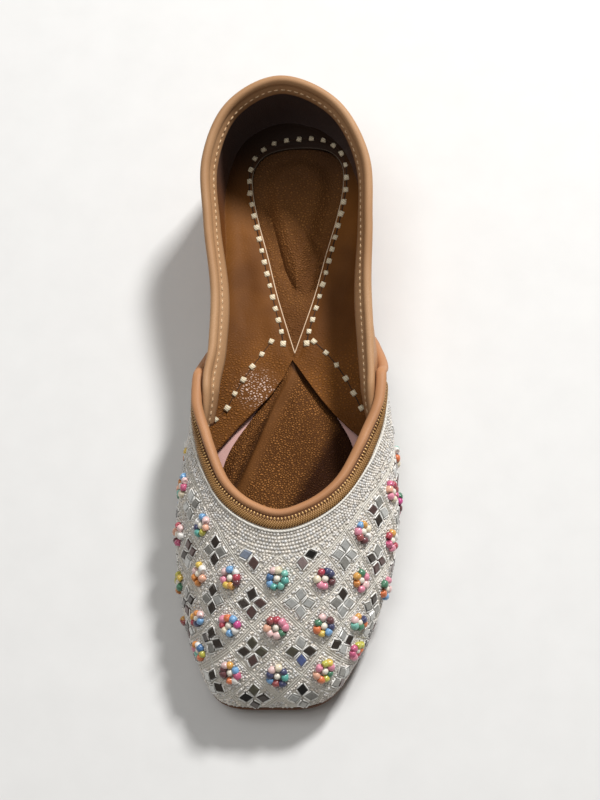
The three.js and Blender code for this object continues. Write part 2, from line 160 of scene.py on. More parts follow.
def rgb(red, green, blue):
    """A colour from 0-255 screen values, as the linear values that shaders take."""
    share = np.array([red, green, blue]) / 255
    linear = np.where(share <= 0.04045, share / 12.92, ((share + 0.055) / 1.055) ** 2.4)
    return (*linear.tolist(), 1.0)


class Finish:
    """A material with one Principled shader. Fixed values are set on the shader's own sockets."""

    def __init__(self, name, **fixed):
        self.material = bpy.data.materials.new(name)
        self.material.use_nodes = True
        self.tree = self.material.node_tree
        self.tree.nodes.clear()
        self.shader = add_node(self.tree, "ShaderNodeBsdfPrincipled", {}, {})
        output = add_node(self.tree, "ShaderNodeOutputMaterial", {}, {})
        self.tree.links.new(self.shader.outputs[0], output.inputs["Surface"])
        for key, value in fixed.items():
            self.shader.inputs[key.replace("_", " ").title().replace("Ior", "IOR")].default_value = value

    def node(self, kind, settings=None, sockets=None, out=0):
        return Wire(self, add_node(self.tree, kind, settings or {}, sockets or {}).outputs[out])

    def place(self, scale=(1, 1, 1)):
        """Object coordinates in metres, stretched by a scale."""
        where = self.node("ShaderNodeTexCoord", out="Object")
        return self.node("ShaderNodeMapping", {}, {"Vector": where, "Scale": scale})

    def noise(self, where, per_metre, detail=3.0):
        sockets = {"Vector": where, "Scale": per_metre, "Detail": detail, "Roughness": 0.55}
        return self.node("ShaderNodeTexNoise", {}, sockets)

    def cells(self, where, per_metre):
        """How far a place is from the edge of its cell, in cells."""
        sockets = {"Vector": where, "Scale": per_metre}
        return self.node("ShaderNodeTexVoronoi", {"feature": "DISTANCE_TO_EDGE"}, sockets, "Distance")

    def stripes(self, where, direction, pitch_mm):
        """Soft stripes at a pitch in millimetres."""
        sockets = {"Vector": where, "Scale": WAVE_PITCH / (pitch_mm * MM)}
        return self.node("ShaderNodeTexWave", {"bands_direction": direction}, sockets, out=1)

    def mix(self, factor, first, second):
        """The first colour where the factor is 0, and the second where it is 1."""
        return self.node("ShaderNodeMix", {"data_type": "RGBA"}, {0: factor, 6: first, 7: second}, out=2)

    def feed(self, **wires):
        """Links values to the shader's sockets of those names."""
        for key, wire in wires.items():
            self.tree.links.new(wire.socket, self.shader.inputs[key.replace("_", " ").title()])

    def bump(self, height, depth, strength):
        """Depth is in metres."""
        sockets = {"Height": height, "Distance": depth, "Strength": strength}
        return self.node("ShaderNodeBump", {}, sockets)


print("shader helpers ready")

# %% [markdown]
# ## Floor and light
# A pale floor catches the shade. One small strong light from the heel's side leaves the heel's inside
# in shade, as in the photo, and a large weak one above fills it. Area lights are used, because their
# size sets how soft the edge of the shade is.

# %% Floor and lights
FLOOR_SIZE = 3.0
WORLD_COLOUR = rgb(230, 228, 224)
WORLD_STRENGTH = 0.24
LIGHTS = {  # place, size and power of each soft light, in metres and watts
    "key_from_heel": ((0.67, 1.00, 1.18), 0.26, 33.0),
    "overhead": ((-0.30, 0.05, 1.50), 0.80, 7.0),
}

pale_floor = Finish("pale_floor", roughness=0.9)
floor_speckle = pale_floor.noise(pale_floor.place(), 60.0)
pale_floor.feed(base_color=pale_floor.mix(floor_speckle, rgb(214, 213, 211), rgb(222, 221, 219)))
floor_mesh = bpy.data.meshes.new("floor")
half_floor = FLOOR_SIZE / 2
floor_corners = [(-half_floor, -half_floor, 0), (half_floor, -half_floor, 0)]
floor_corners += [(half_floor, half_floor, 0), (-half_floor, half_floor, 0)]
floor_mesh.from_pydata(floor_corners, [], [(0, 1, 2, 3)])
floor_mesh.materials.append(pale_floor.material)
floor = bpy.data.objects.new("floor", floor_mesh)
scene.collection.objects.link(floor)

for light_name, (light_place, light_size, light_power) in LIGHTS.items():
    light_data = bpy.data.lights.new(light_name, "AREA")
    light_data.size = light_size
    light_data.energy = light_power
    light = bpy.data.objects.new(light_name, light_data)
    light.location = light_place
    light.rotation_euler = (-Vector(light_place)).to_track_quat("-Z", "Y").to_euler()
    scene.collection.objects.link(light)

world = bpy.data.worlds.new("studio")
world.use_nodes = True
world.node_tree.nodes["Background"].inputs["Color"].default_value = WORLD_COLOUR
world.node_tree.nodes["Background"].inputs["Strength"].default_value = WORLD_STRENGTH
scene.world = world
scene.view_settings.view_transform = "Standard"
print("lights:", len(LIGHTS))

# %% [markdown]
# ## The last
# A shoemaker pulls leather over a last, a wooden foot. Ours could be sculpted, but then every later
# change would be by hand. So it is a table: one row for each section from the toe to the heel, with the
# sole's edge, the top edge and the wall's bulge between them. Smooth curves through the rows give the
# wall at any place, by how far round the shoe it is and how far up from the sole.

# %% Sizes and the ring table, in millimetres
LENGTH = 250
BALL_WIDTH = 84
HEEL_HEIGHT = 56
GAP = 0.3
CURVE_SAGITTA = 5.5
CURVE_CROWN = 55
SOLE = {"heel": 5.5, "toe": 4.2, "edge": 0.6, "spring": 7, "break": 21, "waist": (46, 70), "rise": 1.5}
QUARTER_WALL = 2.2
VAMP_WALL = 2.4
SEAM_SINK = 0.8
INSOLE_TOP = GAP + 2.5
WING = {"ear": 6.62, "foot": 7.7, "rise": 0.9, "lowers": 5.2, "corner_run": 0.34, "corner_drop": 0.17}
FLARE = {"out": 1.9, "from": 4.4, "full": 5.6, "lowest": 0.3}
QUARTER_END = 4.5
QUARTER_DIP = (3.9, 6.0)
WAIST_PULL = {"left": 1.4, "from": 6.2, "full": 7.1, "ends": 7.5, "over": 9.0}

# Places along are in % of the length, halves and belly_out of the ball's width, top_reach of the way
# down to the foot, and the heights of the heel's height
RING_COLUMNS = (
    "foot_along foot_half top_along top_half top_height belly_out belly_up top_reach top_drop"
).split()
RING_ROWS = np.array([
    [1.5, 0.0, 27.2, 0.0, 77.7, 3.6, 16.0, 55, 19.6],  # toe centre
    [2.3, 21.0, 28.4, 11.3, 77.1, 4.2, 17.0, 55, 18.8],  # toe corner
    [7.6, 31.8, 30.6, 20.2, 75.4, 6.0, 19.6, 52, 17.0],  # toe side
    [15.6, 40.0, 33.6, 26.8, 72.9, 8.3, 23.2, 48, 14.3],  # in front of the ball
    [25.2, 43.4, 38.0, 31.5, 69.6, 9.5, 26.8, 42, 12.5],  # ball
    [34.8, 41.6, 43.2, 35.5, 66.4, 9.5, 26.8, 35, 14.3],  # behind the ball
    [44.4, 38.7, 48.8, 37.1, 64.8, 7.7, 25.0, 30, 17.9],  # in front of the ear
    [54.0, 35.1, 55.2, 36.4, 65.4, 6.0, 23.2, 30, 19.6],  # ear
    [64.4, 32.1, 65.2, 35.5, 69.6, 4.2, 23.2, 40, 21.4],  # waist
    [75.2, 31.5, 75.6, 37.1, 76.8, 4.2, 25.0, 50, 23.2],  # in front of the heel
    [86.0, 31.0, 85.6, 36.9, 84.8, 4.8, 26.8, 50, 25.0],  # heel side
    [94.8, 21.4, 94.0, 24.4, 92.9, 5.4, 28.6, 30, 28.6],  # heel corner
    [98.2, 0.0, 97.6, 0.0, 98.2, 6.0, 30.4, 50, 32.1],  # heel centre
])
LAST_ROW = len(RING_ROWS) - 1
TURN = 2 * LAST_ROW
print("sections from toe to heel:", len(RING_ROWS))

# %% Smooth values round the ring


def smooth_ring(rows, column, signed, at):
    """A smooth value round a ring of mirrored rows. Signed values change sign past the last row."""
    at = np.asarray(at, float)
    last = len(rows) - 1
    start = np.floor(at).astype(int)
    t = at - start

    def row(step):
        k = np.mod(start + step, 2 * last)
        value = rows[np.where(k > last, 2 * last - k, k), column]
        return np.where(k > last, -value, value) if signed else value

    a, b, c, d = row(-1), row(0), row(1), row(2)
    return b + 0.5 * t * (c - a + t * (2 * a - 5 * b + 4 * c - d + t * (3 * (b - c) + d - a)))


def ring(name, at):
    """A column of the table at any place round the shoe."""
    return smooth_ring(RING_ROWS, RING_COLUMNS.index(name), name.endswith("half"), at)


def ramp(low, high, x):
    """Goes smoothly from 0 to 1 while x goes from low to high."""
    t = np.clip((np.asarray(x, float) - low) / (high - low), 0, 1)
    return t * t * (3 - 2 * t)


def blend(a, b, t):
    return a + (b - a) * t


print("ball's half width:", float(ring("foot_half", 4)), "% of the ball's width")

# %% The middle line's curve and the sole's heights


def along_to_y(share):
    """Millimetres along the shoe from a share of its length, the toe first."""
    return (np.asarray(share) / 100 - 0.5) * LENGTH


def curve_shift(y):
    """The left last curves inwards at toe and heel."""
    t = (y - along_to_y(CURVE_CROWN)) / (LENGTH / 2)
    return CURVE_SAGITTA * (1 - t * t)


def sole_bottom(y):
    """Height of the sole's underside: lifted at the toe, hollowed at the waist."""
    along = (np.asarray(y) / LENGTH + 0.5) * 100
    lift = np.clip((SOLE["break"] - along) / SOLE["break"], 0, 1)
    waist = np.clip((along - SOLE["waist"][0]) / (SOLE["waist"][1] - SOLE["waist"][0]), 0, 1)
    return SOLE["spring"] * lift**2 + SOLE["rise"] * np.sin(math.pi * waist) ** 2


def sole_top(y):
    along = (np.asarray(y) / LENGTH + 0.5) * 100
    return sole_bottom(y) + blend(SOLE["toe"], SOLE["heel"], ramp(*SOLE["waist"], along))


ends = [round(float(sole_top(y)), 1) for y in (-LENGTH / 2, LENGTH / 2)]
print("sole's top at toe and heel:", ends, "mm")

# %% Points on the last


def foot_point(at):
    """Plan point of the last's lower edge, before the last is curved."""
    return np.stack([ring("foot_half", at) / 100 * BALL_WIDTH, along_to_y(ring("foot_along", at))], -1)


def unit(vectors):
    return vectors / np.maximum(np.linalg.norm(vectors, axis=-1, keepdims=True), 1e-9)


def outward(at):
    """The direction away from the shoe in plan, at the sole's edge."""
    run = unit(foot_point(at + 0.02) - foot_point(at - 0.02))
    return np.stack([run[..., 1], -run[..., 0]], -1)


def waist_pull(at, rise):
    """The left side's top edge is drawn in at the waist."""
    rows = TURN - np.mod(at, TURN)
    along = ramp(WAIST_PULL["from"], WAIST_PULL["full"], rows)
    along = along * (1 - ramp(WAIST_PULL["ends"], WAIST_PULL["over"], rows))
    return WAIST_PULL["left"] * along * np.clip(rise, 0, 1) ** 1.5


def last_point(at, rise):
    """A point on the last: how far round, in rows from the toe, and how far up, from 0 to 1."""
    at, rise = np.broadcast_arrays(np.asarray(at, float), np.asarray(rise, float))
    foot = foot_point(at)
    belly = foot + outward(at) * (ring("belly_out", at) / 100 * BALL_WIDTH)[..., None]
    top = np.stack([ring("top_half", at) / 100 * BALL_WIDTH, along_to_y(ring("top_along", at))], -1)
    shoulder = top + (foot - top) * (ring("top_reach", at) / 100)[..., None]
    foot_z = sole_top(foot[..., 1]) + GAP
    top_z = ring("top_height", at) / 100 * HEEL_HEIGHT
    handles = [
        (foot, foot_z),
        (belly, foot_z + ring("belly_up", at) / 100 * HEEL_HEIGHT),
        (shoulder, top_z - ring("top_drop", at) / 100 * HEEL_HEIGHT),
        (top, top_z),
    ]
    weights = [(1 - rise) ** 3, 3 * rise * (1 - rise) ** 2, 3 * rise**2 * (1 - rise), rise**3]
    plan = sum(w[..., None] * p for w, (p, z) in zip(weights, handles))
    height = sum(w * z for w, (p, z) in zip(weights, handles))
    x = plan[..., 0] + curve_shift(plan[..., 1]) + waist_pull(at, rise)
    return np.stack([x, plan[..., 1], height], -1)


def last_directions(at, rise):
    """Directions round and up the last, in millimetres for each row and for the whole rise."""
    step = 0.01
    around = (last_point(at + step, rise) - last_point(at - step, rise)) / (2 * step)
    up = (last_point(at, rise + step) - last_point(at, rise - step)) / (2 * step)
    return around, up


def last_normal(at, rise):
    return unit(np.cross(*last_directions(np.asarray(at, float), np.asarray(rise, float))))


def wall_point(at, rise, offset):
    """A point some millimetres off the last, and never inside the sole."""
    points = last_point(at, rise) + last_normal(at, rise) * np.asarray(offset, float)[..., None]
    points[..., 2] = np.maximum(points[..., 2], sole_top(points[..., 1]) + GAP)
    return points


def slide(at, rise, direction, distance):
    """Where on the last one comes by going some millimetres in a direction that lies on it."""
    around, up = last_directions(at, rise)
    aa, au, uu = [np.sum(p * q, -1) for p, q in ((around, around), (around, up), (up, up))]
    da, du = np.sum(direction * around, -1), np.sum(direction * up, -1)
    scale = distance / (aa * uu - au * au)
    return at + scale * (da * uu - du * au), rise + scale * (du * aa - da * au)


print("top of the heel:", last_point(LAST_ROW, 1.0).round(1), "mm")

# %% Edges of the vamp and the quarter


def vamp_top(at):
    """How far up the vamp goes: it lowers towards the ears, whose corners are round."""
    rows = np.abs(at)
    slope = (1 - WING["rise"]) * ramp(WING["lowers"], WING["ear"], rows)
    corner = np.clip((rows - WING["ear"] + WING["corner_run"]) / WING["corner_run"], 0, 1)
    return 1 - slope - WING["corner_drop"] * corner**2


def vamp_place(side, height):
    """How far round and up a vamp point is. Side runs from -1 at the left ear to 1 at the right."""
    return side * blend(WING["foot"], WING["ear"], height), height * vamp_top(side * WING["ear"])


def vamp_inner(at, height):
    """How far off the last the vamp's inside is: its wings lie over the quarter and flare at the top."""
    rows = np.abs(at)
    over = (QUARTER_WALL - SEAM_SINK) * ramp(QUARTER_END - 1.5, QUARTER_END, rows)
    return over + FLARE["out"] * ramp(FLARE["from"], FLARE["full"], rows) * ramp(FLARE["lowest"], 1, height)


def quarter_top(at):
    """How far up the quarter goes: it dips to the sole under the vamp."""
    k = np.mod(at, TURN)
    return ramp(*QUARTER_DIP, np.minimum(k, TURN - k))


sole_margin = VAMP_WALL + SOLE["edge"]
ring_steps = np.linspace(0, TURN, 480, endpoint=False)
sole_plan = foot_point(ring_steps) + outward(ring_steps) * sole_margin
sole_plan[:, 0] += curve_shift(sole_plan[:, 1])
sole_box = np.array(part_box("outsole"))[:, :2] / MM
middle_shift = sole_box.mean(0)[0] - (sole_plan[:, 0].min() + sole_plan[:, 0].max()) / 2
SHIFT = np.array([middle_shift, sole_box[1, 1] - sole_plan[:, 1].max(), 0])
print("shift from the last to the frame:", SHIFT.round(2), "mm")

# %% [markdown]
# ## Making meshes
# Most pieces are grids, strips or rings of points that were worked out on the last. Modifiers could
# thicken a sheet into a wall, but then its edge is out of reach. So three helpers join the points to
# closed meshes: a wall between two grids, a strip of closed sections, and a stack of rings.

# %% Mesh helpers


def make_piece(name, points, faces, finishes, face_finish=None):
    """A closed mesh piece from points in millimetres on the last."""
    mesh = bpy.data.meshes.new(name)
    mesh.from_pydata(((np.asarray(points) + SHIFT) * MM).tolist(), [], [list(map(int, f)) for f in faces])
    for finish in finishes:
        mesh.materials.append(finish.material)
    if face_finish is not None:
        mesh.polygons.foreach_set("material_index", np.asarray(face_finish, np.int32))
    made = bmesh.new()
    made.from_mesh(mesh)
    bmesh.ops.remove_doubles(made, verts=made.verts, dist=1e-6)
    bmesh.ops.recalc_face_normals(made, faces=made.faces)
    for face in made.faces:
        face.smooth = True
    made.to_mesh(mesh)
    made.free()
    piece = bpy.data.objects.new(name, mesh)
    scene.collection.objects.link(piece)
    return piece


def grid_faces(columns, rows, start=0, close=False):
    """Quads of a grid whose points run row by row inside each column."""
    last = columns if close else columns - 1
    i, j = np.meshgrid(np.arange(last), np.arange(rows - 1), indexing="ij")
    a = start + i * rows + j
    b = start + ((i + 1) % columns) * rows + j
    return np.stack([a, b, b + 1, a + 1], -1).reshape(-1, 4)


def wall_piece(name, inner, outer, finishes):
    """A wall between two grids of points. Its finishes are for outside, inside and rims."""
    columns, rows = outer.shape[:2]
    count = columns * rows
    outside = grid_faces(columns, rows)
    inside = grid_faces(columns, rows, count)
    ids = np.arange(count).reshape(columns, rows)
    loop = np.concatenate([ids[:-1, 0], ids[-1, :-1], ids[:0:-1, -1], ids[0, :0:-1]])
    nxt = np.roll(loop, -1)
    rims = np.stack([loop, nxt, nxt + count, loop + count], -1)
    faces = np.concatenate([outside, inside, rims])
    which = np.repeat([0, 1, 2], [len(outside), len(inside), len(rims)])
    points = np.concatenate([outer.reshape(-1, 3), inner.reshape(-1, 3)])
    return make_piece(name, points, faces, finishes, which)


def strip_piece(name, sections, finishes):
    """A strip along a path: one closed section of points for each step, with flat ends."""
    steps, count = sections.shape[:2]
    faces = []
    for k in range(steps - 1):
        low, high = k * count, (k + 1) * count
        for p in range(count):
            q = (p + 1) % count
            faces.append((low + p, low + q, high + q, high + p))
    faces.append(tuple(range(count)))
    faces.append(tuple((steps - 1) * count + p for p in range(count)))
    return make_piece(name, sections.reshape(-1, 3), faces, finishes)


def stack_piece(name, rings, finishes, level_finish=None):
    """A solid stacked from closed rings, bottom first. Strips across close its first and last ring."""
    levels, count = rings.shape[:2]
    faces, which = [], []
    for level in range(levels - 1):
        low, high = level * count, (level + 1) * count
        for k in range(count):
            q = (k + 1) % count
            faces.append((low + k, low + q, high + q, high + k))
            which.append(level_finish[level + 1] if level_finish else 0)
    for base, finish in ((0, 0), ((levels - 1) * count, -1)):
        for k in range(count // 2):
            corners = [k, k + 1, (count - k - 1) % count, (count - k) % count]
            faces.append([base + c for c in dict.fromkeys(corners)])
            which.append(level_finish[finish] if level_finish else 0)
    return make_piece(name, rings.reshape(-1, 3), faces, finishes, which)


def finished(piece, slot, *nodes):
    """Rides the piece on the shoe and hides the solids that it stands for. Its slot is not used."""
    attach(piece, "root")
    if nodes:
        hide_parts(*nodes)
    triangles = sum(len(p.vertices) - 2 for p in piece.data.polygons)
    print(f"{piece.name}: {triangles} triangles")


print("mesh helpers ready")

# %% [markdown]
# ## Two trees of Geometry Nodes
# Thousands of beads could be copied by a loop, but a node tree puts them on points in one go. Each
# point carries its directions and size as attributes. A second tree sweeps a circle along edges, for
# cords. Both end in real faces with a material, and the result is kept as a plain mesh.

# %% Geometry Nodes: copies on points, cords along edges


def new_tree(name, inputs):
    """An empty tree with named inputs and one geometry output."""
    tree = bpy.data.node_groups.new(name, "GeometryNodeTree")
    for label, kind in inputs.items():
        tree.interface.new_socket(label, in_out="INPUT", socket_type=kind)
    tree.interface.new_socket("Geometry", in_out="OUTPUT", socket_type="NodeSocketGeometry")
    return tree


def end_tree(tree, geometry, finish, shade=True):
    """Every tree ends in real faces with a material."""
    real = add_node(tree, "GeometryNodeRealizeInstances", {}, {"Geometry": geometry})
    shading = {"Geometry": real.outputs[0], "Shade Smooth": shade}
    smooth = add_node(tree, "GeometryNodeSetShadeSmooth", {}, shading)
    paint = {"Geometry": smooth.outputs[0], "Material": finish}
    painted = add_node(tree, "GeometryNodeSetMaterial", {}, paint)
    add_node(tree, "NodeGroupOutput", {}, {"Geometry": painted.outputs[0]})


def point_value(tree, name):
    """A vector that each point carries."""
    settings = {"data_type": "FLOAT_VECTOR"}
    return add_node(tree, "GeometryNodeInputNamedAttribute", settings, {"Name": name}).outputs[0]


def copies_tree():
    """One copy of a small shape on each point: its Z axis along the point's up, its X along its run."""
    inputs = {
        "Geometry": "NodeSocketGeometry",
        "Copy": "NodeSocketObject",
        "Smooth": "NodeSocketBool",
        "Finish": "NodeSocketMaterial",
    }
    tree = new_tree("copies_on_points", inputs)
    given = add_node(tree, "NodeGroupInput", {}, {})
    shape = add_node(tree, "GeometryNodeObjectInfo", {}, {"Object": given.outputs["Copy"]})
    axes = {"primary_axis": "Z", "secondary_axis": "X"}
    ways = {0: point_value(tree, "up"), 1: point_value(tree, "run")}
    turn = add_node(tree, "FunctionNodeAxesToRotation", axes, ways)
    placed = add_node(tree, "GeometryNodeInstanceOnPoints", {}, {
        "Points": given.outputs["Geometry"],
        "Instance": shape.outputs["Geometry"],
        "Rotation": turn.outputs[0],
        "Scale": point_value(tree, "size"),
    })
    end_tree(tree, placed.outputs[0], given.outputs["Finish"], given.outputs["Smooth"])
    return tree


def cord_tree():
    """Sweeps a round cord along every chain of edges."""
    inputs = {
        "Geometry": "NodeSocketGeometry",
        "Radius": "NodeSocketFloat",
        "Sides": "NodeSocketInt",
        "Finish": "NodeSocketMaterial",
    }
    tree = new_tree("cord_along_edges", inputs)
    given = add_node(tree, "NodeGroupInput", {}, {})
    path = add_node(tree, "GeometryNodeMeshToCurve", {}, {"Mesh": given.outputs["Geometry"]})
    section = {"Resolution": given.outputs["Sides"], "Radius": given.outputs["Radius"]}
    circle = add_node(tree, "GeometryNodeCurvePrimitiveCircle", {}, section)
    sockets = {"Curve": path.outputs[0], "Profile Curve": circle.outputs[0], "Fill Caps": True}
    swept = add_node(tree, "GeometryNodeCurveToMesh", {}, sockets)
    end_tree(tree, swept.outputs[0], given.outputs["Finish"])
    return tree


def run_tree(name, mesh, tree, values):
    """Runs a tree on a mesh, and keeps the result as a plain mesh piece."""
    piece = bpy.data.objects.new(name, mesh)
    scene.collection.objects.link(piece)
    modifier = piece.modifiers.new("nodes", "NODES")
    modifier.node_group = tree
    for item in tree.interface.items_tree:
        if item.in_out == "INPUT" and item.name in values:
            modifier[item.identifier] = values[item.name]
    graph = bpy.context.evaluated_depsgraph_get()
    made = bpy.data.meshes.new_from_object(piece.evaluated_get(graph), depsgraph=graph)
    piece.modifiers.clear()
    piece.data = made
    made.name = name
    for label in ("up", "run", "size"):
        if label in made.attributes:
            made.attributes.remove(made.attributes[label])
    return piece


print("tree builders ready")

# %% Copies, cords and turned shapes
COPIES = copies_tree()
CORD = cord_tree()


def copies(name, shape, finish, points, up, run, size, tint=None, smooth=True):
    """A piece made of copies. Points and sizes are in millimetres; shape is (points, faces) of unit size."""
    count = len(points)
    mesh = bpy.data.meshes.new(name + "_points")
    mesh.from_pydata(((np.asarray(points) + SHIFT) * MM).tolist(), [], [])
    for label, value in (("up", up), ("run", run), ("size", np.asarray(size, float) * MM)):
        store = mesh.attributes.new(label, "FLOAT_VECTOR", "POINT")
        each = np.ascontiguousarray(np.broadcast_to(value, (count, 3)), np.float32)
        store.data.foreach_set("vector", each.ravel())
    if tint is not None:
        store = mesh.attributes.new("tint", "FLOAT_COLOR", "POINT")
        store.data.foreach_set("color", np.ascontiguousarray(tint, np.float32).ravel())
    shape_mesh = bpy.data.meshes.new(name + "_shape")
    shape_mesh.from_pydata(np.asarray(shape[0]).tolist(), [], [list(map(int, f)) for f in shape[1]])
    copy = bpy.data.objects.new(name + "_shape", shape_mesh)
    scene.collection.objects.link(copy)
    piece = run_tree(name, mesh, COPIES, {"Copy": copy, "Smooth": smooth, "Finish": finish.material})
    bpy.data.objects.remove(copy)
    return piece


def cords(name, paths, radius, sides, finish):
    """A piece of round cords along paths of points, all in millimetres."""
    points, edges = [], []
    for path in paths:
        first = len(points)
        points.extend((np.asarray(path) + SHIFT) * MM)
        edges.extend((first + k, first + k + 1) for k in range(len(path) - 1))
    mesh = bpy.data.meshes.new(name + "_paths")
    mesh.from_pydata([tuple(map(float, p)) for p in points], edges, [])
    return run_tree(name, mesh, CORD, {"Radius": radius * MM, "Sides": sides, "Finish": finish.material})


def lathe(profile, segments, turn=0.0):
    """A closed turned shape round Z from (radius, height) pairs, from the bottom up."""
    angles = turn + np.linspace(0, 2 * math.pi, segments, endpoint=False)
    points, rings, faces = [], [], []
    for radius, height in profile:
        rings.append(len(points))
        turned = angles if radius > 0 else angles[:1]
        points += [(radius * math.cos(a), radius * math.sin(a), height) for a in turned]
    for level, (low, high) in enumerate(zip(rings, rings[1:])):
        for k in range(segments):
            q = (k + 1) % segments
            low_pair = [low + k, low + q] if profile[level][0] > 0 else [low]
            high_pair = [high + q, high + k] if profile[level + 1][0] > 0 else [high]
            faces.append(low_pair + high_pair)
    if profile[0][0] > 0:
        faces.append(list(range(segments))[::-1])
    if profile[-1][0] > 0:
        faces.append([rings[-1] + k for k in range(segments)])
    return points, faces


print("trees:", COPIES.name, CORD.name)

# %% [markdown]
# ## Leather
# Leather is a colour that wanders a little, with a grain of small cells pressed into it. A picture of
# leather would be quicker, but cells made by a Voronoi node fit any piece and any zoom. Where the photo
# shows the grain pressed flat or drawn smooth, a mask by place changes the same cells. Other masks by
# place paint shade at the heel, along the pad's fold and the flap's edge, and on the pad's right front,
# and they paint highlights on one flap.

# %% Leather
# Places seen from above, in metres: the pad's fold, the flap's edge, the toes' painted shadow, and a painted
# shine
FOLD_LINE = ((-0.0045, 0.0036), (-0.0213, -0.0363))
FLAP_LINE = ((0.0004, 0.0157), (0.0220, -0.0123))
TOE_SHADOW_LINE = ((0.0154, -0.0147), (-0.0003, -0.0441))
FLAP_GLINT = (-0.0135, 0.0031)


def away_from_line(finish, start, end):
    """Metres to the right, seen from above, of a line that runs from its start towards the toe."""
    run = Vector(end) - Vector(start)
    right = Vector((-run.y, run.x)).normalized()
    return finish.across * right.x + finish.along * right.y - right.dot(Vector(start))


def pressed_heel(finish):
    """Where the sock's grain was pressed flat: under the heel and the waist."""
    return finish.along.ramp(0.002, 0.040, 0.0, 0.85)


def drawn_gutter(finish):
    """Where the pad's leather is drawn smooth: on the right of its fold."""
    from_fold = away_from_line(finish, *FOLD_LINE)
    return (from_fold.ramp(-0.0010, 0.0010) - from_fold.ramp(0.0030, 0.0070)) * 0.85


def leather(
    name, base, dark, grain_mm, depth_mm, roughness,
    pits=0.6, specular=0.24, stretch=1.0, tops=0.35, wear=1.0, smooth=None, level=0.6,
):
    """Grained leather: cells as bump, darker in the folds between them (pits) and in patches (wear).

    Tops is where a cell is at its full height, and level its height where the smooth mask flattens it.
    """
    finish = Finish(name, specular_ior_level=specular)
    where = finish.place()
    finish.across = finish.node("ShaderNodeSeparateXYZ", {}, {0: where}, out=0)
    finish.along = finish.node("ShaderNodeSeparateXYZ", {}, {0: where}, out=1)
    grained = finish.place((1 / stretch, 1, 1))
    wander = {"Vector": grained, "Scale": 0.35 / (grain_mm * MM)}
    warped = finish.node("ShaderNodeVectorMath", {"operation": "MULTIPLY_ADD"}, {
        0: finish.node("ShaderNodeTexNoise", {}, wander, out="Color"),
        1: (0.6 * grain_mm * MM,) * 3,
        2: grained,
    })
    finish.pebble = finish.cells(warped, 1 / (grain_mm * MM)).ramp(0.0, tops)
    if smooth:
        finish.pebble = finish.pebble + (level - finish.pebble) * smooth(finish)
    fine = finish.noise(where, 3 / (grain_mm * MM), 2.0)
    patch = finish.noise(where, 25.0, 3.0)
    tone = finish.mix(patch.ramp(0.3, 0.72, 0.0, wear), base, dark)
    finish.tone = finish.mix((1 - finish.pebble) * pits, tone, dark)
    gloss = patch * 0.18 + finish.pebble * -0.10 + (roughness + 0.02)
    finish.feed(base_color=finish.tone, roughness=gloss)
    finish.feed(normal=finish.bump(finish.pebble + fine * 0.08, depth_mm * MM, 0.8))
    return finish


def toned(finish, share, colour):
    """Mixes a share of a colour into a leather's tone."""
    finish.tone = finish.mix(share, finish.tone, colour)
    finish.feed(base_color=finish.tone)


def painted_heel_shade(finish, share, colour, start=0.070, full=0.112):
    """Painted shade: leather that darkens towards the back of the heel, between two places along the shoe in
    metres.
    """
    toned(finish, finish.along.ramp(start, full, 0.0, share), colour)


def painted_toe_shadow(finish, share, colour):
    """Painted shadow of the vamp's right side: leather that darkens under the right toes, along a slanting
    line.
    """
    toned(finish, away_from_line(finish, *TOE_SHADOW_LINE).ramp(-0.0015, 0.0045, 0.0, share), colour)


def shaded_folds(finish, colour):
    """Leather that is dark along the left of the pad's fold and under the right flap's edge."""
    from_fold = away_from_line(finish, *FOLD_LINE)
    line = from_fold.ramp(-0.0018, -0.0004) - from_fold.ramp(0.0, 0.0014)
    toned(finish, line * (1 - finish.along.ramp(-0.012, 0.002)) * 0.6, colour)
    toned(finish, away_from_line(finish, *FLAP_LINE).ramp(-0.0030, -0.0014) * 0.85, colour)


def painted_glints(finish, middle, reach, share, colour):
    """Painted highlights on the grain's tops, round one place."""
    dx = finish.across - middle[0]
    dy = finish.along - middle[1]
    near = (dx * dx + dy * dy) ** 0.5
    tops = finish.pebble.ramp(0.25, 0.75) * finish.noise(finish.place(), 900.0, 2.0).ramp(0.34, 0.52)
    toned(finish, near.ramp(0.25 * reach, reach, share, 0.0) * tops, colour)


print("leather helpers ready")

# %% Leathers of the shoe
# Painted shade darkens the inside of the heel: the sock, the cushion, the lining and the window's cut edge.
HEEL_SHADE_COLOUR = rgb(30, 26, 25)
brown_leather = leather(
    "brown_leather", rgb(142, 90, 38), rgb(92, 54, 20), 1.0, 0.36, 0.56,
    pits=0.8, specular=0.12, stretch=1.25, tops=0.42, smooth=pressed_heel,
)
# Painted highlights on the left flap's grain
painted_glints(brown_leather, FLAP_GLINT, 0.0110, 0.66, rgb(240, 216, 202))
painted_heel_shade(brown_leather, 0.9, HEEL_SHADE_COLOUR, 0.076, 0.116)
cushion_leather = leather(
    "cushion_leather", rgb(156, 106, 57), rgb(90, 54, 24), 0.95, 0.40, 0.54,
    pits=0.8, specular=0.10, stretch=1.3, tops=0.42,
)
painted_heel_shade(cushion_leather, 0.45, HEEL_SHADE_COLOUR)
pad_leather = leather(
    "pad_leather", rgb(168, 113, 62), rgb(56, 28, 10), 0.80, 0.50, 0.52,
    pits=0.88, specular=0.06, stretch=1.35, tops=0.40, wear=0.35, smooth=drawn_gutter, level=0.22,
)
shaded_folds(pad_leather, rgb(34, 16, 7))
# Painted shadow on the pad's right front, where the vamp's right side shades it
painted_toe_shadow(pad_leather, 0.86, rgb(38, 17, 9))
lining_leather = leather("lining_leather", rgb(140, 86, 36), rgb(108, 62, 24), 0.8, 0.10, 0.50)
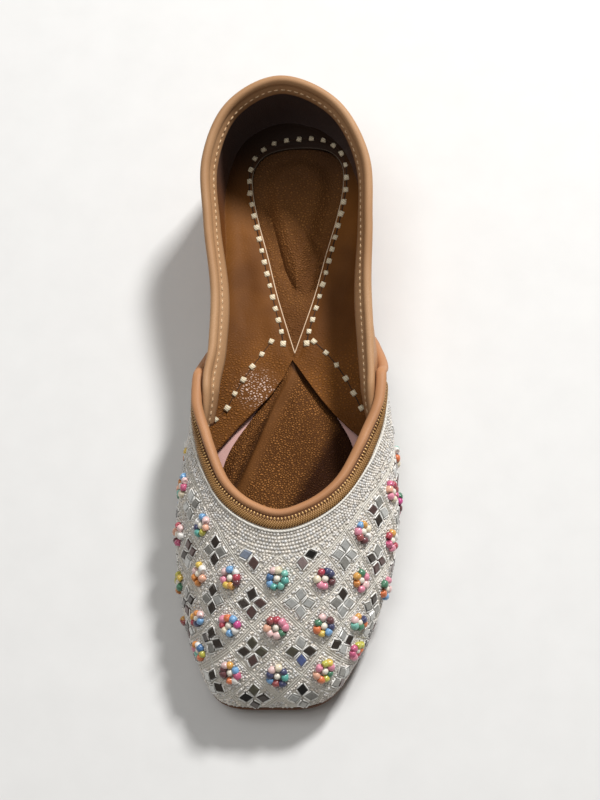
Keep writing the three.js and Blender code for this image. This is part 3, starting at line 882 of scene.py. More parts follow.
# On the heel's wall the painted shade is a grey, so that it reads neutral.
painted_heel_shade(lining_leather, 0.92, rgb(84, 77, 78))
tan_leather = leather("tan_leather", rgb(188, 138, 98), rgb(162, 114, 77), 0.5, 0.03, 0.44)
# Painted light: the collar binding is the piping's tan leather made paler, where the collar is lit more
lit_collar_leather = leather("lit_collar_leather", rgb(190, 150, 112), rgb(164, 123, 86), 0.5, 0.03, 0.44)
quarter_leather = leather("quarter_leather", rgb(190, 146, 106), rgb(162, 118, 81), 0.8, 0.05, 0.48)
sole_leather = leather("sole_leather", rgb(150, 104, 62), rgb(112, 72, 40), 1.6, 0.10, 0.62)
sole_edge = leather("sole_edge", rgb(122, 78, 44), rgb(80, 48, 26), 0.6, 0.05, 0.55)
raw_edge = leather("raw_edge", rgb(238, 216, 190), rgb(212, 182, 150), 0.4, 0.05, 0.7)
painted_heel_shade(raw_edge, 0.9, HEEL_SHADE_COLOUR)
print("leathers made")

# %% [markdown]
# ## Cloth, thread and beads
# Cloth is two crossing waves, and twisted thread is one slanting wave. Beads come in twenty colours and
# silver in many tones. A material for each would be slow to change, so each copy carries its tint as an
# attribute, and one finish serves all of them.

# %% Cloth, thread and beads


def cloth(name, base, dark, thread_mm, roughness):
    """Plain woven cloth from two crossing waves."""
    finish = Finish(name, sheen_weight=0.15)
    where = finish.place()
    weave = finish.stripes(where, "X", thread_mm) * finish.stripes(where, "Y", thread_mm)
    finish.feed(base_color=finish.mix(weave, dark, base), roughness=weave * -0.1 + roughness)
    finish.feed(normal=finish.bump(weave, 0.1 * MM, 0.6))
    return finish


def tinted(name, roughness, spread, speckle, **fixed):
    """A bead or mirror finish, with a little unevenness. Its tint is a bead's own colour, a mirror's painted
    reflection.
    """
    finish = Finish(name, **fixed)
    tint = finish.node("ShaderNodeAttribute", {"attribute_name": "tint"}, {}, out="Color")
    speck = finish.noise(finish.place(), 900.0, 2.0)
    finish.feed(base_color=finish.mix(speck.ramp(0.35, 0.75, 0.0, speckle), tint, rgb(40, 36, 32)))
    finish.feed(roughness=speck * spread + roughness)
    return finish


def thread(name, base, dark, pitch_mm, metal, roughness):
    """Twisted thread: fine slanting stripes in colour and bump."""
    finish = Finish(name, metallic=metal)
    where = finish.place()
    stripe = finish.stripes(where, "DIAGONAL", pitch_mm)
    patch = finish.noise(where, 300.0, 2.0)
    tone = finish.mix(stripe, dark, base)
    finish.feed(base_color=finish.mix(patch.ramp(0.4, 0.8, 0, 0.5), tone, dark))
    finish.feed(roughness=patch * 0.25 + roughness)
    finish.feed(normal=finish.bump(stripe, 0.08 * MM, 0.7))
    return finish


pink_lining = cloth("pink_lining", rgb(226, 186, 178), rgb(196, 150, 142), 0.45, 0.8)
silver_ground = cloth("silver_ground", rgb(224, 218, 206), rgb(200, 194, 183), 0.5, 0.55)
silver_cord = thread("silver_cord", rgb(222, 218, 209), rgb(198, 193, 183), 0.7, 0.0, 0.36)
gold_braid = thread("gold_braid", rgb(176, 134, 80), rgb(126, 89, 48), 0.5, 0.15, 0.40)
gold_glint = thread("gold_glint", rgb(232, 194, 130), rgb(176, 130, 76), 0.4, 0.3, 0.28)
ivory_lace = thread("ivory_lace", rgb(236, 226, 200), rgb(200, 182, 148), 0.6, 0.0, 0.55)
tan_thread = thread("tan_thread", rgb(226, 196, 158), rgb(176, 138, 96), 0.4, 0.0, 0.55)
braid_ground = thread("braid_ground", rgb(104, 62, 28), rgb(72, 40, 16), 0.5, 0.0, 0.7)
lace_shade = thread("lace_shade", rgb(66, 40, 20), rgb(40, 24, 12), 0.5, 0.0, 0.8)
seed_bead = tinted("seed_bead", 0.28, 0.2, 0.10, coat_weight=0.2, coat_roughness=0.2)
colour_bead = tinted("colour_bead", 0.20, 0.12, 0.22, coat_weight=0.35, coat_roughness=0.12)
mirror_glass = tinted("mirror_glass", 0.06, 0.08, 0.20, metallic=0.35, coat_weight=0.4, coat_roughness=0.03)
print("finishes:", len(bpy.data.materials))

# %% [markdown]
# ## Sole
# The sole is one thick piece of hide, flat under heel and ball, hollowed at the waist and lifted at the
# toe. It could be cut from a block, but a stack of rings, each with its own margin and height, gives the
# rounded edge and the seam's groove at once.

# %% Sole
SOLE_PROFILE = [  # margin from the sole's edge, height above its bottom or below its top
    (-7.0, 0.0, "bottom"),
    (-6.2, 0.0, "bottom"),
    (-5.6, 0.5, "bottom"),
    (-4.4, 0.5, "bottom"),
    (-3.8, 0.0, "bottom"),
    (-1.2, 0.0, "bottom"),
    (-0.4, 0.3, "bottom"),
    (0.0, 1.0, "bottom"),
    (0.05, 1.9, "bottom"),
    (-0.15, 2.1, "bottom"),
    (0.0, 2.3, "bottom"),
    (0.0, -0.7, "top"),
    (-0.25, -0.2, "top"),
    (-0.7, 0.0, "top"),
    (-4.0, 0.0, "top"),
]


def foot_ring(margin, height_at):
    """A ring round the shoe, at a margin outside the last's foot and at heights given along the shoe."""
    plan = foot_point(ring_steps) + outward(ring_steps) * margin
    x = plan[:, 0] + curve_shift(plan[:, 1])
    return np.stack([x, plan[:, 1], height_at(plan[:, 1])], -1)


sole_rings = []
for margin, height, side in SOLE_PROFILE:
    surface = sole_bottom if side == "bottom" else sole_top
    sole_rings.append(foot_ring(sole_margin + margin, lambda y: surface(y) + height))
edge_levels = [0] + [0 if m < -1 else 1 for m, _, _ in SOLE_PROFILE[:-1]]
sole = stack_piece("sole", np.array(sole_rings), [sole_leather, sole_edge], edge_levels)
finished(sole, "sole_leather", "outsole")

# %% [markdown]
# ## Stitches under the sole
# A row of stitches could be a dashed texture, but thread has a shape that shows at the edge. So a small
# capsule is turned on a lathe, and Geometry Nodes puts one on each evenly spaced point of the groove.

# %% Stitches under the sole
CAPSULE = lathe([(0, -1), (0.62, -0.78), (1, -0.2), (1, 0.2), (0.62, 0.78), (0, 1)], 6)


def path_length(path):
    """Length along a path up to each of its points."""
    return np.concatenate([[0], np.cumsum(np.linalg.norm(np.diff(path, axis=0), axis=1))])


def at_lengths(wanted, length, values):
    """Values at some lengths along a path, from the values at its points."""
    return np.stack([np.interp(wanted, length, column) for column in values.T], -1)


def flat_run(points, closed=False):
    """Directions along a path of points."""
    ahead = np.roll(points, -1, 0) - np.roll(points, 1, 0)
    if not closed:
        ahead[0], ahead[-1] = points[1] - points[0], points[-1] - points[-2]
    return unit(ahead)


def spaced(path, pitch, closed=False):
    """Points at an even pitch along a path."""
    loop = np.concatenate([path, path[:1]]) if closed else path
    length = path_length(loop)
    count = max(2, int(round(length[-1] / pitch)))
    wanted = np.linspace(0, length[-1], count if closed else count + 1, endpoint=not closed)
    return at_lengths(wanted, length, loop)


SOLE_SEAM = {"in": 5.0, "up": 0.62, "pitch": 4.2, "size": (0.55, 0.42, 1.6)}
seam_ring = foot_ring(sole_margin - SOLE_SEAM["in"], lambda y: sole_bottom(y) + SOLE_SEAM["up"])
groove = spaced(seam_ring, SOLE_SEAM["pitch"], closed=True)
# The capsule's long axis is Z, so its up is the seam's own direction.
sole_stitches = copies(
    "sole_stitches", CAPSULE, ivory_lace, groove, flat_run(groove, True), (0, 0, 1), SOLE_SEAM["size"]
)
finished(sole_stitches, "sole_leather")

# %% [markdown]
# ## Quarter and vamp
# The quarter is the soft back of the shoe. The vamp covers the toes, and its wings are sewn over the
# quarter's front ends and stand a little off them. Both are walls between two grids on the last.

# %% Quarter
quarter_at = np.linspace(QUARTER_END, TURN - QUARTER_END, 241)
quarter_rise = np.linspace(0, 1, 33)
grid_at, grid_rise = np.meshgrid(quarter_at, quarter_rise, indexing="ij")
grid_rise = grid_rise * quarter_top(grid_at)
quarter = wall_piece(
    "quarter",
    wall_point(grid_at, grid_rise, np.zeros_like(grid_at)),
    wall_point(grid_at, grid_rise, np.full_like(grid_at, QUARTER_WALL)),
    [quarter_leather, lining_leather, quarter_leather],
)
finished(quarter, "embroidery", "upper")

# %% [markdown]
# ## Vamp
# The vamp's grid runs from ear to ear and from the sole to the throat. It has more columns close to the
# ears, where the top edge turns down in a tight corner.

# %% Vamp
main_sides = np.linspace(0, WING["ear"] - WING["corner_run"], 105)[1:]
corner_sides = WING["ear"] - WING["corner_run"] * (1 - np.sin(np.linspace(0, math.pi / 2, 10)))[1:]
right_sides = np.concatenate([main_sides, corner_sides])
vamp_sides = np.concatenate([-right_sides[::-1], [0], right_sides]) / WING["ear"]
vamp_heights = np.linspace(0, 1, 57)
grid_side, grid_height = np.meshgrid(vamp_sides, vamp_heights, indexing="ij")
grid_at, grid_rise = vamp_place(grid_side, grid_height)
grid_inner = vamp_inner(grid_at, grid_height)
vamp_inside = wall_point(grid_at, grid_rise, grid_inner)
vamp_outside = wall_point(grid_at, grid_rise, grid_inner + VAMP_WALL)
vamp = wall_piece("vamp", vamp_inside, vamp_outside, [silver_ground, lining_leather, silver_ground])
finished(vamp, "embroidery", "upper")

# %% [markdown]
# ## Edge bindings
# The vamp's edge is bound with a smooth roll of tan leather, which goes round the throat, over the ears
# and down the rear edges. The collar's binding is a roll with a wide flange inside, held by a line of
# stitches.

# %% Edge paths


def edge_frame(at, rise, offset):
    """Normal, direction along and direction into the wall, at each point of an edge."""
    run = flat_run(wall_point(at, rise, offset))
    normal = last_normal(at, rise)
    return normal, run, unit(np.cross(normal, run))


def edge_sections(at, rise, offset, corners):
    """Sections along an edge. Corners are (in, out): into the wall, and off the last, for each step."""
    _, _, inwards = edge_frame(at, rise, offset)
    sections = []
    for into, out in corners:
        into = np.broadcast_to(into, at.shape)
        slid_at, slid_rise = slide(at, rise, inwards, np.maximum(into, 0))
        off = last_normal(slid_at, slid_rise) * np.asarray(out)[..., None]
        sections.append(last_point(slid_at, slid_rise) + off + inwards * np.minimum(into, 0)[..., None])
    return np.stack(sections, 1)


rear_heights = np.linspace(0.05, 1, 40)[:-1]
edge_side = np.concatenate([np.ones(39), vamp_sides[::-1], -np.ones(39)])
edge_height = np.concatenate([rear_heights, np.ones(len(vamp_sides)), rear_heights[::-1]])
edge_at, edge_rise = vamp_place(edge_side, edge_height)
edge_inner = vamp_inner(edge_at, edge_height)
edge_middle = edge_inner + VAMP_WALL / 2
print("throat edge points:", len(edge_at))

# %% [markdown]
# ## Throat piping
# A curve with a bevel makes a round cord, but this roll has to hug the wall on both sides. So an oval
# section is set at each point of the edge, along the wall's own directions, and the sections are joined.

# %% Throat piping
PIPING_INTO = 1.65
PIPING_OVER = 0.9
PIPING_CENTRE = 0.35
angles = np.linspace(0, 2 * math.pi, 18, endpoint=False)
piping_corners = []
for angle in angles:
    into = PIPING_CENTRE + PIPING_INTO * math.cos(angle)
    piping_corners.append((into, edge_middle + (VAMP_WALL / 2 + PIPING_OVER) * math.sin(angle)))
throat_piping = strip_piece(
    "throat_piping", edge_sections(edge_at, edge_rise, edge_middle, piping_corners), [tan_leather]
)
finished(throat_piping, "tan_leather", "throat_binding")

# %% [markdown]
# ## Collar binding
# This section is not a simple shape, so it is listed corner by corner: a roll over the edge, and a flange
# that lies inside on the lining. The same corners are set at each point of the collar.

# %% Collar binding
COLLAR_SECTION = [  # into the wall, off the last; the flange lies inside
    (1.6, QUARTER_WALL + 0.10),
    (1.4, QUARTER_WALL + 0.35),
    (0.4, QUARTER_WALL + 0.45),
    (-0.6, QUARTER_WALL + 0.30),
    (-1.3, QUARTER_WALL - 0.30),
    (-1.65, QUARTER_WALL - 1.00),
    (-1.6, QUARTER_WALL - 1.90),
    (-1.1, -0.35),
    (-0.2, -0.85),
    (0.7, -1.00),
    (1.2, -0.90),
    (1.7, -1.35),
    (3.0, -2.00),
    (4.6, -2.65),
    (6.0, -3.10),
    (6.6, -2.80),
    (6.7, 0.20),
    (3.0, 0.40),
    (0.5, 0.60),
    (0.4, QUARTER_WALL - 0.40),
]
FLANGE_STARTS = -1.1  # corners further inside than this belong to the flange
FLANGE_ENDS = 6.5
FLANGE_REACH = {"heel": 0.8, "waist_adds": 0.65, "rows": (7.4, 9.6)}
COLLAR_END = 5.3
COLLAR_WRAP = (6.4, 7.2)  # rows over which the roll comes out of the vamp's wing
collar_at = np.linspace(TURN - COLLAR_END, COLLAR_END, 321)
collar_rise = quarter_top(collar_at)
collar_rows = np.minimum(collar_at, TURN - collar_at)
collar_wrap = ramp(*COLLAR_WRAP, collar_rows)
# The flange lies flatter, and so reaches further in, along the waist
at_waist = 1 - ramp(*FLANGE_REACH["rows"], collar_rows)
collar_reach = FLANGE_REACH["heel"] + FLANGE_REACH["waist_adds"] * at_waist
collar_corners = []
for into, out in COLLAR_SECTION:
    out_here = np.where(out > QUARTER_WALL, blend(QUARTER_WALL, out, collar_wrap), out)
    collar_corners.append((into, np.where(out < FLANGE_STARTS, out_here * collar_reach, out_here)))
collar_middle = np.full_like(collar_at, QUARTER_WALL / 2)
collar_binding = strip_piece(
    "collar_binding", edge_sections(collar_at, collar_rise, collar_middle, collar_corners), [lit_collar_leather]
)
finished(collar_binding, "tan_leather", "collar_binding")

# %% [markdown]
# ## Collar stitches
# The stitches lie on the flange, at a fixed depth inside the wall. Where the flange leans more, that
# depth is reached sooner, so the line is found on the flange's own slope.

# %% Collar stitches
STITCH_OUT = -1.8
STITCH_PROUD = 0.08
STITCH_PITCH = 2.7
STITCH_SIZE = (0.36, 0.36, 0.98)
flange = [(into, out) for into, out in COLLAR_SECTION if out < FLANGE_STARTS and into < FLANGE_ENDS]
flange = np.array(flange)
stitch_into = np.interp(-STITCH_OUT / collar_reach, -flange[:, 1], flange[:, 0])
stitch_corner = [(stitch_into, np.full_like(collar_at, STITCH_OUT - STITCH_PROUD))]
collar_line = edge_sections(collar_at, collar_rise, collar_middle, stitch_corner)[:, 0]
collar_points = spaced(collar_line, STITCH_PITCH)
collar_stitches = copies(
    "collar_stitches", CAPSULE, tan_thread, collar_points, flat_run(collar_points), (0, 0, 1), STITCH_SIZE
)
finished(collar_stitches, "tan_leather")

# %% [markdown]
# ## Throat braid
# Under the piping lies a row of gold stitches over a dark gap, and then a band of twisted gold braid,
# whose strands make a serrated lower edge. Outside it run rows of silver beads that follow the throat.

# %% Gold braid
THROAT_STEPS = 401


def throat_place(side, distance, lift):
    """A point on the vamp some millimetres below the throat's edge, with its normal and directions."""
    at, rise = vamp_place(side, np.ones_like(side))
    _, run, inwards = edge_frame(at, rise, vamp_inner(at, np.ones_like(side)) + VAMP_WALL)
    slid_at, slid_rise = slide(at, rise, inwards, distance)
    off = vamp_inner(slid_at, slid_rise / vamp_top(slid_at)) + VAMP_WALL
    normal = last_normal(slid_at, slid_rise)
    return last_point(slid_at, slid_rise) + normal * (off + lift)[..., None], normal, run, inwards


def throat_path(reach, distance, lift=0.0):
    """Places along a line at one distance below the throat's edge."""
    side = np.linspace(reach, -reach, THROAT_STEPS)
    return throat_place(side, np.full_like(side, distance), np.full_like(side, lift))


def even_rows(reach, distance, lift, pitch):
    """Evenly spaced places along a line at one distance below the throat's edge."""
    path, normal, run, inwards = throat_path(reach, distance, lift)
    length = path_length(path)
    wanted = np.arange(pitch / 2, length[-1], pitch)
    return [at_lengths(wanted, length, values) for values in (path, normal, run, inwards)]


BRAID_REACH = 0.93
# Corners of the band's section: below the throat's edge, and off the cloth
BAND_SECTION = [(1.2, 0.0), (1.2, 0.25), (6.2, 0.25), (6.2, -0.2), (1.2, -0.2)]
band = [throat_path(BRAID_REACH, below, off)[0] for below, off in BAND_SECTION]
braid_band = strip_piece("braid_band", np.stack(band, 1), [braid_ground])
finished(braid_band, "gold_braid", "throat_braid")

STRAND_SLANT = math.radians(28)
STRAND_SIZE = (0.55, 0.55, 1.95)
strand_points, strand_up, strand_run, strand_in = even_rows(BRAID_REACH, distance=4.6, lift=0.42, pitch=0.98)
slanted = unit(strand_in * math.cos(STRAND_SLANT) + strand_run * math.sin(STRAND_SLANT))
braid_strands = copies("braid_strands", CAPSULE, gold_braid, strand_points, slanted, strand_up, STRAND_SIZE)
finished(braid_strands, "gold_braid", "throat_braid")

PICK_SIZE = (0.40, 0.42, 0.70)
pick_points, pick_up, _, pick_in = even_rows(BRAID_REACH, distance=2.45, lift=0.35, pitch=1.35)
throat_stitches = copies("throat_stitches", CAPSULE, gold_glint, pick_points, pick_in, pick_up, PICK_SIZE)
finished(throat_stitches, "gold_braid")

# %% [markdown]
# ## Rows of silver beads
# Six rows of seed beads follow the throat, each at its own distance below the edge. Every bead is moved
# and tinted a little at random, as hand work is. The random numbers have a fixed seed, so that each run
# gives the same shoe.

# %% Bead rows round the throat
SEED = lathe([(0.8, -0.25), (0.97, 0.3), (0, 0.95)], 6)
random = np.random.default_rng(11)
ROW_START = 8.2
ROW_PITCH = 1.36
ROW_COUNT = 6
ROW_REACH = 0.9
ROW_BEAD_PITCH = 1.22
SEED_LIFT = 0.12
RIM_CORD = {"below": 7.1, "lift": 0.3, "radius": 0.5}


def silver_tints(count, low=0.5, high=0.86):
    """Tints of silver seed beads: mostly pale, some grey, some a little warm."""
    tone = random.uniform(low, high, (count, 1)) ** 1.1
    warm = random.uniform(0.02, 0.10, (count, 1))
    return np.concatenate([tone * (1 + warm), tone, tone * (1 - 1.3 * warm), np.ones((count, 1))], 1)


row_points, row_up = [], []
for k in range(ROW_COUNT):
    points, up, _, _ = even_rows(ROW_REACH, ROW_START + k * ROW_PITCH, SEED_LIFT, ROW_BEAD_PITCH)
    row_points.append(points + random.normal(0, 0.07, points.shape))
    row_up.append(up)
row_points, row_up = np.concatenate(row_points), np.concatenate(row_up)
row_size = random.uniform(0.58, 0.70, (len(row_points), 1)) * np.array([[1, 1, 0.8]])
row_tint = silver_tints(len(row_points), 0.54, 0.78)
bead_rows = copies("throat_bead_rows", SEED, seed_bead, row_points, row_up, (1, 0, 0), row_size, row_tint)
finished(bead_rows, "embroidery")
rim_path = throat_path(BRAID_REACH, RIM_CORD["below"], RIM_CORD["lift"])[0]
rim_cord = cords("throat_silver_cord", [rim_path], RIM_CORD["radius"], 8, silver_cord)
finished(rim_cord, "embroidery")

# Later pieces keep clear of these rows and of the braid
taken = [row_points]
for distance in np.arange(2.0, 7.6, 0.8):
    taken.append(throat_path(BRAID_REACH, distance)[0])
taken = np.concatenate(taken)
row_tree = KDTree(len(taken))
for k, point in enumerate(taken):
    row_tree.insert(point, k)
row_tree.balance()
print("places taken round the throat:", len(taken))

# %% [markdown]
# ## The embroidery's pattern
# The pattern was worked on flat cloth and then pulled over the last. A UV map could lay it on the vamp,
# but would stretch it. Instead planes cross the vamp from the throat to the toe, and in each plane rays
# fan out to the surface. Length along the middle line and along each section give flat pattern
# coordinates, and any pattern point finds its place and normal by one ray.

# %% Pattern coordinates
FAN_PIVOT_Y = -90.0
FAN_PIVOT_Z = 7.0
PLANES_FROM_Y = 25.0
RAY_LIMIT = math.radians(104)
SIDE_PULL = (4.4, 1.8)
SIDE_GATHER = 0.11
PLANE_STEP = 1.5
FAN_PLANES = 40
FAN_LIMIT = math.radians(88)

vamp_columns, vamp_rows = vamp_outside.shape[:2]
surface_tree = BVHTree.FromPolygons(
    vamp_outside.reshape(-1, 3).tolist(), grid_faces(vamp_columns, vamp_rows).tolist()
)
plane_y = np.arange(PLANES_FROM_Y, FAN_PIVOT_Y, -PLANE_STEP)
plane_tilt = np.concatenate([np.zeros(len(plane_y)), np.linspace(0, FAN_LIMIT, FAN_PLANES)])
plane_y = np.concatenate([plane_y, np.full(FAN_PLANES, FAN_PIVOT_Y)])
ray_angles = np.linspace(-RAY_LIMIT, RAY_LIMIT, 121)


def cast(y, tilt, angle):
    """Where a ray in a section plane meets the vamp, and the vamp's normal there; None if it misses."""
    start = Vector((float(curve_shift(y)), float(y), FAN_PIVOT_Z))
    way = Vector((math.sin(angle), -math.cos(angle) * math.sin(tilt), math.cos(angle) * math.cos(tilt)))
    place, normal, _, distance = surface_tree.ray_cast(start, way)
    if place is None:
        return None
    return place, (normal if normal.dot(way) > 0 else -normal), distance


section_length = []
middle_points = []
for y, tilt in zip(plane_y, plane_tilt):
    reach = np.array([hit[2] if hit else np.nan for hit in (cast(y, tilt, a) for a in ray_angles)])
    known = ~np.isnan(reach)
    reach = np.interp(ray_angles, ray_angles[known], reach[known])
    flat = np.stack([np.sin(ray_angles) * reach, np.cos(ray_angles) * reach], -1)
    steps = path_length(flat)
    section_length.append(steps - np.interp(0, ray_angles, steps))
    high = np.interp(0, ray_angles, reach)
    middle_points.append((y - math.sin(tilt) * high, FAN_PIVOT_Z + math.cos(tilt) * high))
section_length = np.array(section_length)
middle_points = np.array(middle_points)
travel = np.linalg.norm(np.diff(middle_points, axis=0), axis=1)
throat_y = along_to_y(RING_ROWS[0, RING_COLUMNS.index("top_along")])
behind = middle_points[1:, 0] > throat_y
travel = np.where(behind, PLANE_STEP, travel)
plane_length = np.concatenate([[0], np.cumsum(travel)])
plane_length -= float(np.interp(throat_y, plane_y[::-1], plane_length[::-1]))
print("pattern reaches from", plane_length[0].round(), "to", plane_length[-1].round(), "mm")


def drape(across, forward):
    """The cloth was drawn together and pulled back at the sides, more so on the left."""
    away = abs(across)
    back = SIDE_PULL[0 if across < 0 else 1] * float(ramp(10, 38, away))
    return across * (1 - SIDE_GATHER * float(np.clip((away - 8) / 30, 0, 1))), forward - back


def pattern_place(across, forward):
    """Place and normal on the vamp of a flat pattern point: millimetres across, and forward of the throat."""
    across, forward = drape(across, forward)
    if not plane_length[0] < forward < plane_length[-1]:
        return None
    k = min(int(np.searchsorted(plane_length, forward)) - 1, len(plane_length) - 2)
    t = (forward - plane_length[k]) / max(plane_length[k + 1] - plane_length[k], 1e-9)
    lengths = blend(section_length[k], section_length[k + 1], t)
    if not lengths[0] < across < lengths[-1]:
        return None
    angle = float(np.interp(across, lengths, ray_angles))
    hit = cast(blend(plane_y[k], plane_y[k + 1], t), blend(plane_tilt[k], plane_tilt[k + 1], t), angle)
    return hit and (np.array(hit[0]), np.array(hit[1]))


throat_at, throat_rise = vamp_place(vamp_sides, np.ones_like(vamp_sides))
throat_edge = wall_point(throat_at, throat_rise, vamp_inner(vamp_sides * WING["ear"], 1.0) + VAMP_WALL)
rear_side = np.repeat([-1.0, 1.0], 40)
rear_height = np.tile(np.linspace(0, 1, 40), 2)
rear_at, rear_rise = vamp_place(rear_side, rear_height)
rear_edge = wall_point(rear_at, rear_rise, vamp_inner(rear_at, rear_height) + VAMP_WALL)


def edge_distance(place, edge=throat_edge):
    return float(np.min(np.linalg.norm(edge - place, axis=1)))


def free_place(across, forward, from_rows, from_rear=2.5, above_sole=1.0, from_throat=ROW_START + 1):
    """A pattern place that lies clear of the throat, its rows, the rear edges and the sole."""
    found = pattern_place(across, forward)
    if not found:
        return None
    place, normal = found
    if place[2] < sole_top(place[1]) + GAP + above_sole or row_tree.find(place)[2] < from_rows:
        return None
    if edge_distance(place) < from_throat or edge_distance(place, rear_edge) < from_rear:
        return None
    return place, normal


print("middle of the toe:", pattern_place(0.0, 40.0)[0].round(1))

# %% [markdown]
# ## Lattice
# Pairs of silver cords cross the vamp on both diagonals and make diamond cells. Every second cell holds
# a cluster of coloured beads, and the cells between hold four small mirrors each. Seed beads fill the
# ground.

# %% Lattice values
CELL_DIAGONAL = 18.2
LATTICE_ACROSS = 0.6
LATTICE_FORWARD = 6.9
CORD_SPREAD = 0.42
CORD_RADIUS = 0.2
CORD_LIFT = 0.16
CORD_STEP = 1.1


def lattice_to_pattern(u, v):
    """Diagonal cell coordinates to flat pattern millimetres. Whole numbers of u and v are cell centres."""
    half = CELL_DIAGONAL / 2
    return LATTICE_ACROSS + (u - v) * half, LATTICE_FORWARD + (u + v) * half


CELL_RANGE = range(-9, 14)
CELL_SIDE = CELL_DIAGONAL / math.sqrt(2)


def lattice_cords():
    """Paths of the double cords, broken where they leave the free ground."""
    paths = []
    for line in CELL_RANGE:
        for swap in (False, True):
            for offset in (-CORD_SPREAD, CORD_SPREAD):
                path = []
                for along in np.arange(CELL_RANGE.start, CELL_RANGE.stop, CORD_STEP / CELL_SIDE):
                    fixed = line + 0.5 + offset / CELL_SIDE
                    u, v = (along, fixed) if swap else (fixed, along)
                    found = free_place(*lattice_to_pattern(u, v), 1.0)
                    if found:
                        path.append(found[0] + found[1] * CORD_LIFT)
                    else:
                        paths.append(path)
                        path = []
                paths.append(path)
    return [path for path in paths if len(path) > 3]


lattice = cords("lattice_cords", lattice_cords(), CORD_RADIUS, 6, silver_cord)
finished(lattice, "embroidery")

# %% [markdown]
# ## Bead clusters
# Each cluster is a ring of barrel beads round a pearl. The colours are listed where they can be seen, and
# drawn at random on the flanks. The beads lie on the vamp's own surface, and not on a flat plate, so a
# cluster bends with the shoe.

# %% Bead clusters
BEAD_COLOURS = {
    "sky": rgb(112, 168, 216),
    "blue": rgb(46, 104, 156),
    "navy": rgb(32, 40, 92),
    "teal": rgb(78, 168, 156),
    "mint": rgb(120, 196, 178),
    "green": rgb(52, 122, 86),
    "lime": rgb(196, 190, 62),
    "yellow": rgb(232, 196, 76),
    "mustard": rgb(222, 160, 62),
    "amber": rgb(214, 132, 44),
    "orange": rgb(226, 116, 56),
    "peach": rgb(236, 176, 146),
    "blush": rgb(238, 200, 196),
    "pink": rgb(232, 140, 164),
    "rose": rgb(206, 84, 128),
    "magenta": rgb(204, 52, 138),
    "crimson": rgb(178, 32, 62),
    "brick": rgb(158, 62, 62),
    "maroon": rgb(92, 22, 34),
    "cream": rgb(240, 226, 196),
    "white": rgb(238, 234, 228),
}
# Row and column of a cluster, in cells from the middle, and its beads clockwise from the throat's side
CLUSTERS = {
    (0, -3): "crimson blush white rose maroon peach",
    (0, -2): "sky blush peach lime teal navy white",
    (0, 2): "mustard cream white maroon brick pink sky",
    (0, 3): "mustard white crimson pink rose crimson",
    (1, -3): "lime yellow green amber lime",
    (1, -2): "yellow white peach amber amber blush",
    (1, -1): "sky white crimson maroon mustard yellow pink blush",
    (1, 0): "cream mint teal mint teal sky blue blush",
    (1, 1): "navy navy maroon pink pink cream crimson",
    (1, 2): "green pink blush pink amber mustard",
    (1, 3): "pink blush sky orange green",
    (2, -2): "amber blush sky navy crimson mustard",
    (2, -1): "orange sky magenta white sky cream crimson pink",
    (2, 0): "crimson pink pink green blush blush peach brick",
    (2, 1): "blush maroon navy sky yellow orange green",
    (2, 2): "mustard navy orange green mint blush",
    (3, -1): "mustard sky rose white orange maroon maroon blush",
    (3, 0): "cream navy teal navy brick sky navy blush",
    (3, 1): "lime yellow pink green lime orange peach pink",
}
FADED = np.array([0.34, 0.32, 0.30, 1.0])
BEAD_FADE = 0.14
BEAD_RADIUS = 1.46
CLUSTER_RADIUS = 3.1
PEARL_SIZE = (1.4, 1.4, 1.25)
PEARL_LIFT = 1.1
BARREL = lathe(
    [(0.3, -0.72), (0.62, -0.92), (0.9, -0.62), (1.0, 0.0), (0.9, 0.62), (0.62, 0.92), (0.3, 0.72)], 16
)
print("clusters listed:", len(CLUSTERS))

# %% Setting the bead clusters


def pattern_directions(across, forward):
    """Directions across and forward on the vamp at a pattern point."""
    step = 0.8
    steps = ((step, 0), (-step, 0), (0, step), (0, -step))
    ends = [pattern_place(across + dx, forward + df) for dx, df in steps]
    if not all(ends):
        return None
    return unit(ends[0][0] - ends[1][0]), unit(ends[2][0] - ends[3][0])


cluster_points, cluster_up, cluster_run, cluster_tint = [], [], [], []
pearl_points, pearl_up = [], []
cluster_centres = []
names = list(BEAD_COLOURS)
for row in range(-2, 6):
    for column in range(-5, 6):
        across = LATTICE_ACROSS + column * CELL_DIAGONAL
        forward = LATTICE_FORWARD + row * CELL_DIAGONAL
        found = free_place(across, forward, 3.6, 6.0, 4.5)
        ways = pattern_directions(across, forward)
        if not found or not ways:
            continue
        cluster_centres.append((across, forward))
        listed = CLUSTERS.get((row, column))
        beads = listed.split() if listed else list(random.choice(names, 7))
        start = random.uniform(-0.2, 0.2)
        for k, colour in enumerate(beads):
            turn = start + 2 * math.pi * k / len(beads) + random.normal(0, 0.08)
            far = CLUSTER_RADIUS + random.uniform(-0.4, 0.4)
            spot = pattern_place(across + far * math.sin(turn), forward - far * math.cos(turn))
            if not spot:
                continue
            cluster_points.append(spot[0] + spot[1] * random.uniform(0.85, 1.15))
            tangent = ways[0] * math.cos(turn) + ways[1] * math.sin(turn)
            cluster_up.append(unit(tangent + random.normal(0, 0.25, 3)))
            cluster_run.append(spot[1])
            cluster_tint.append(blend(np.array(BEAD_COLOURS[colour]), FADED, BEAD_FADE))
        pearl_points.append(found[0] + found[1] * PEARL_LIFT)
        pearl_up.append(found[1])
cluster_sizes = BEAD_RADIUS * random.uniform(0.9, 1.08, (len(cluster_points), 1)) * np.ones((1, 3))
colour_beads = copies(
    "colour_beads", BARREL, colour_bead, cluster_points, cluster_up, cluster_run, cluster_sizes, cluster_tint
)
finished(colour_beads, "embroidery")
PEARL = lathe([(0, -1), (0.6, -0.8), (0.95, -0.3), (0.95, 0.3), (0.6, 0.8), (0, 1)], 12)
pearl_tint = np.tile(rgb(236, 228, 212), (len(pearl_points), 1))
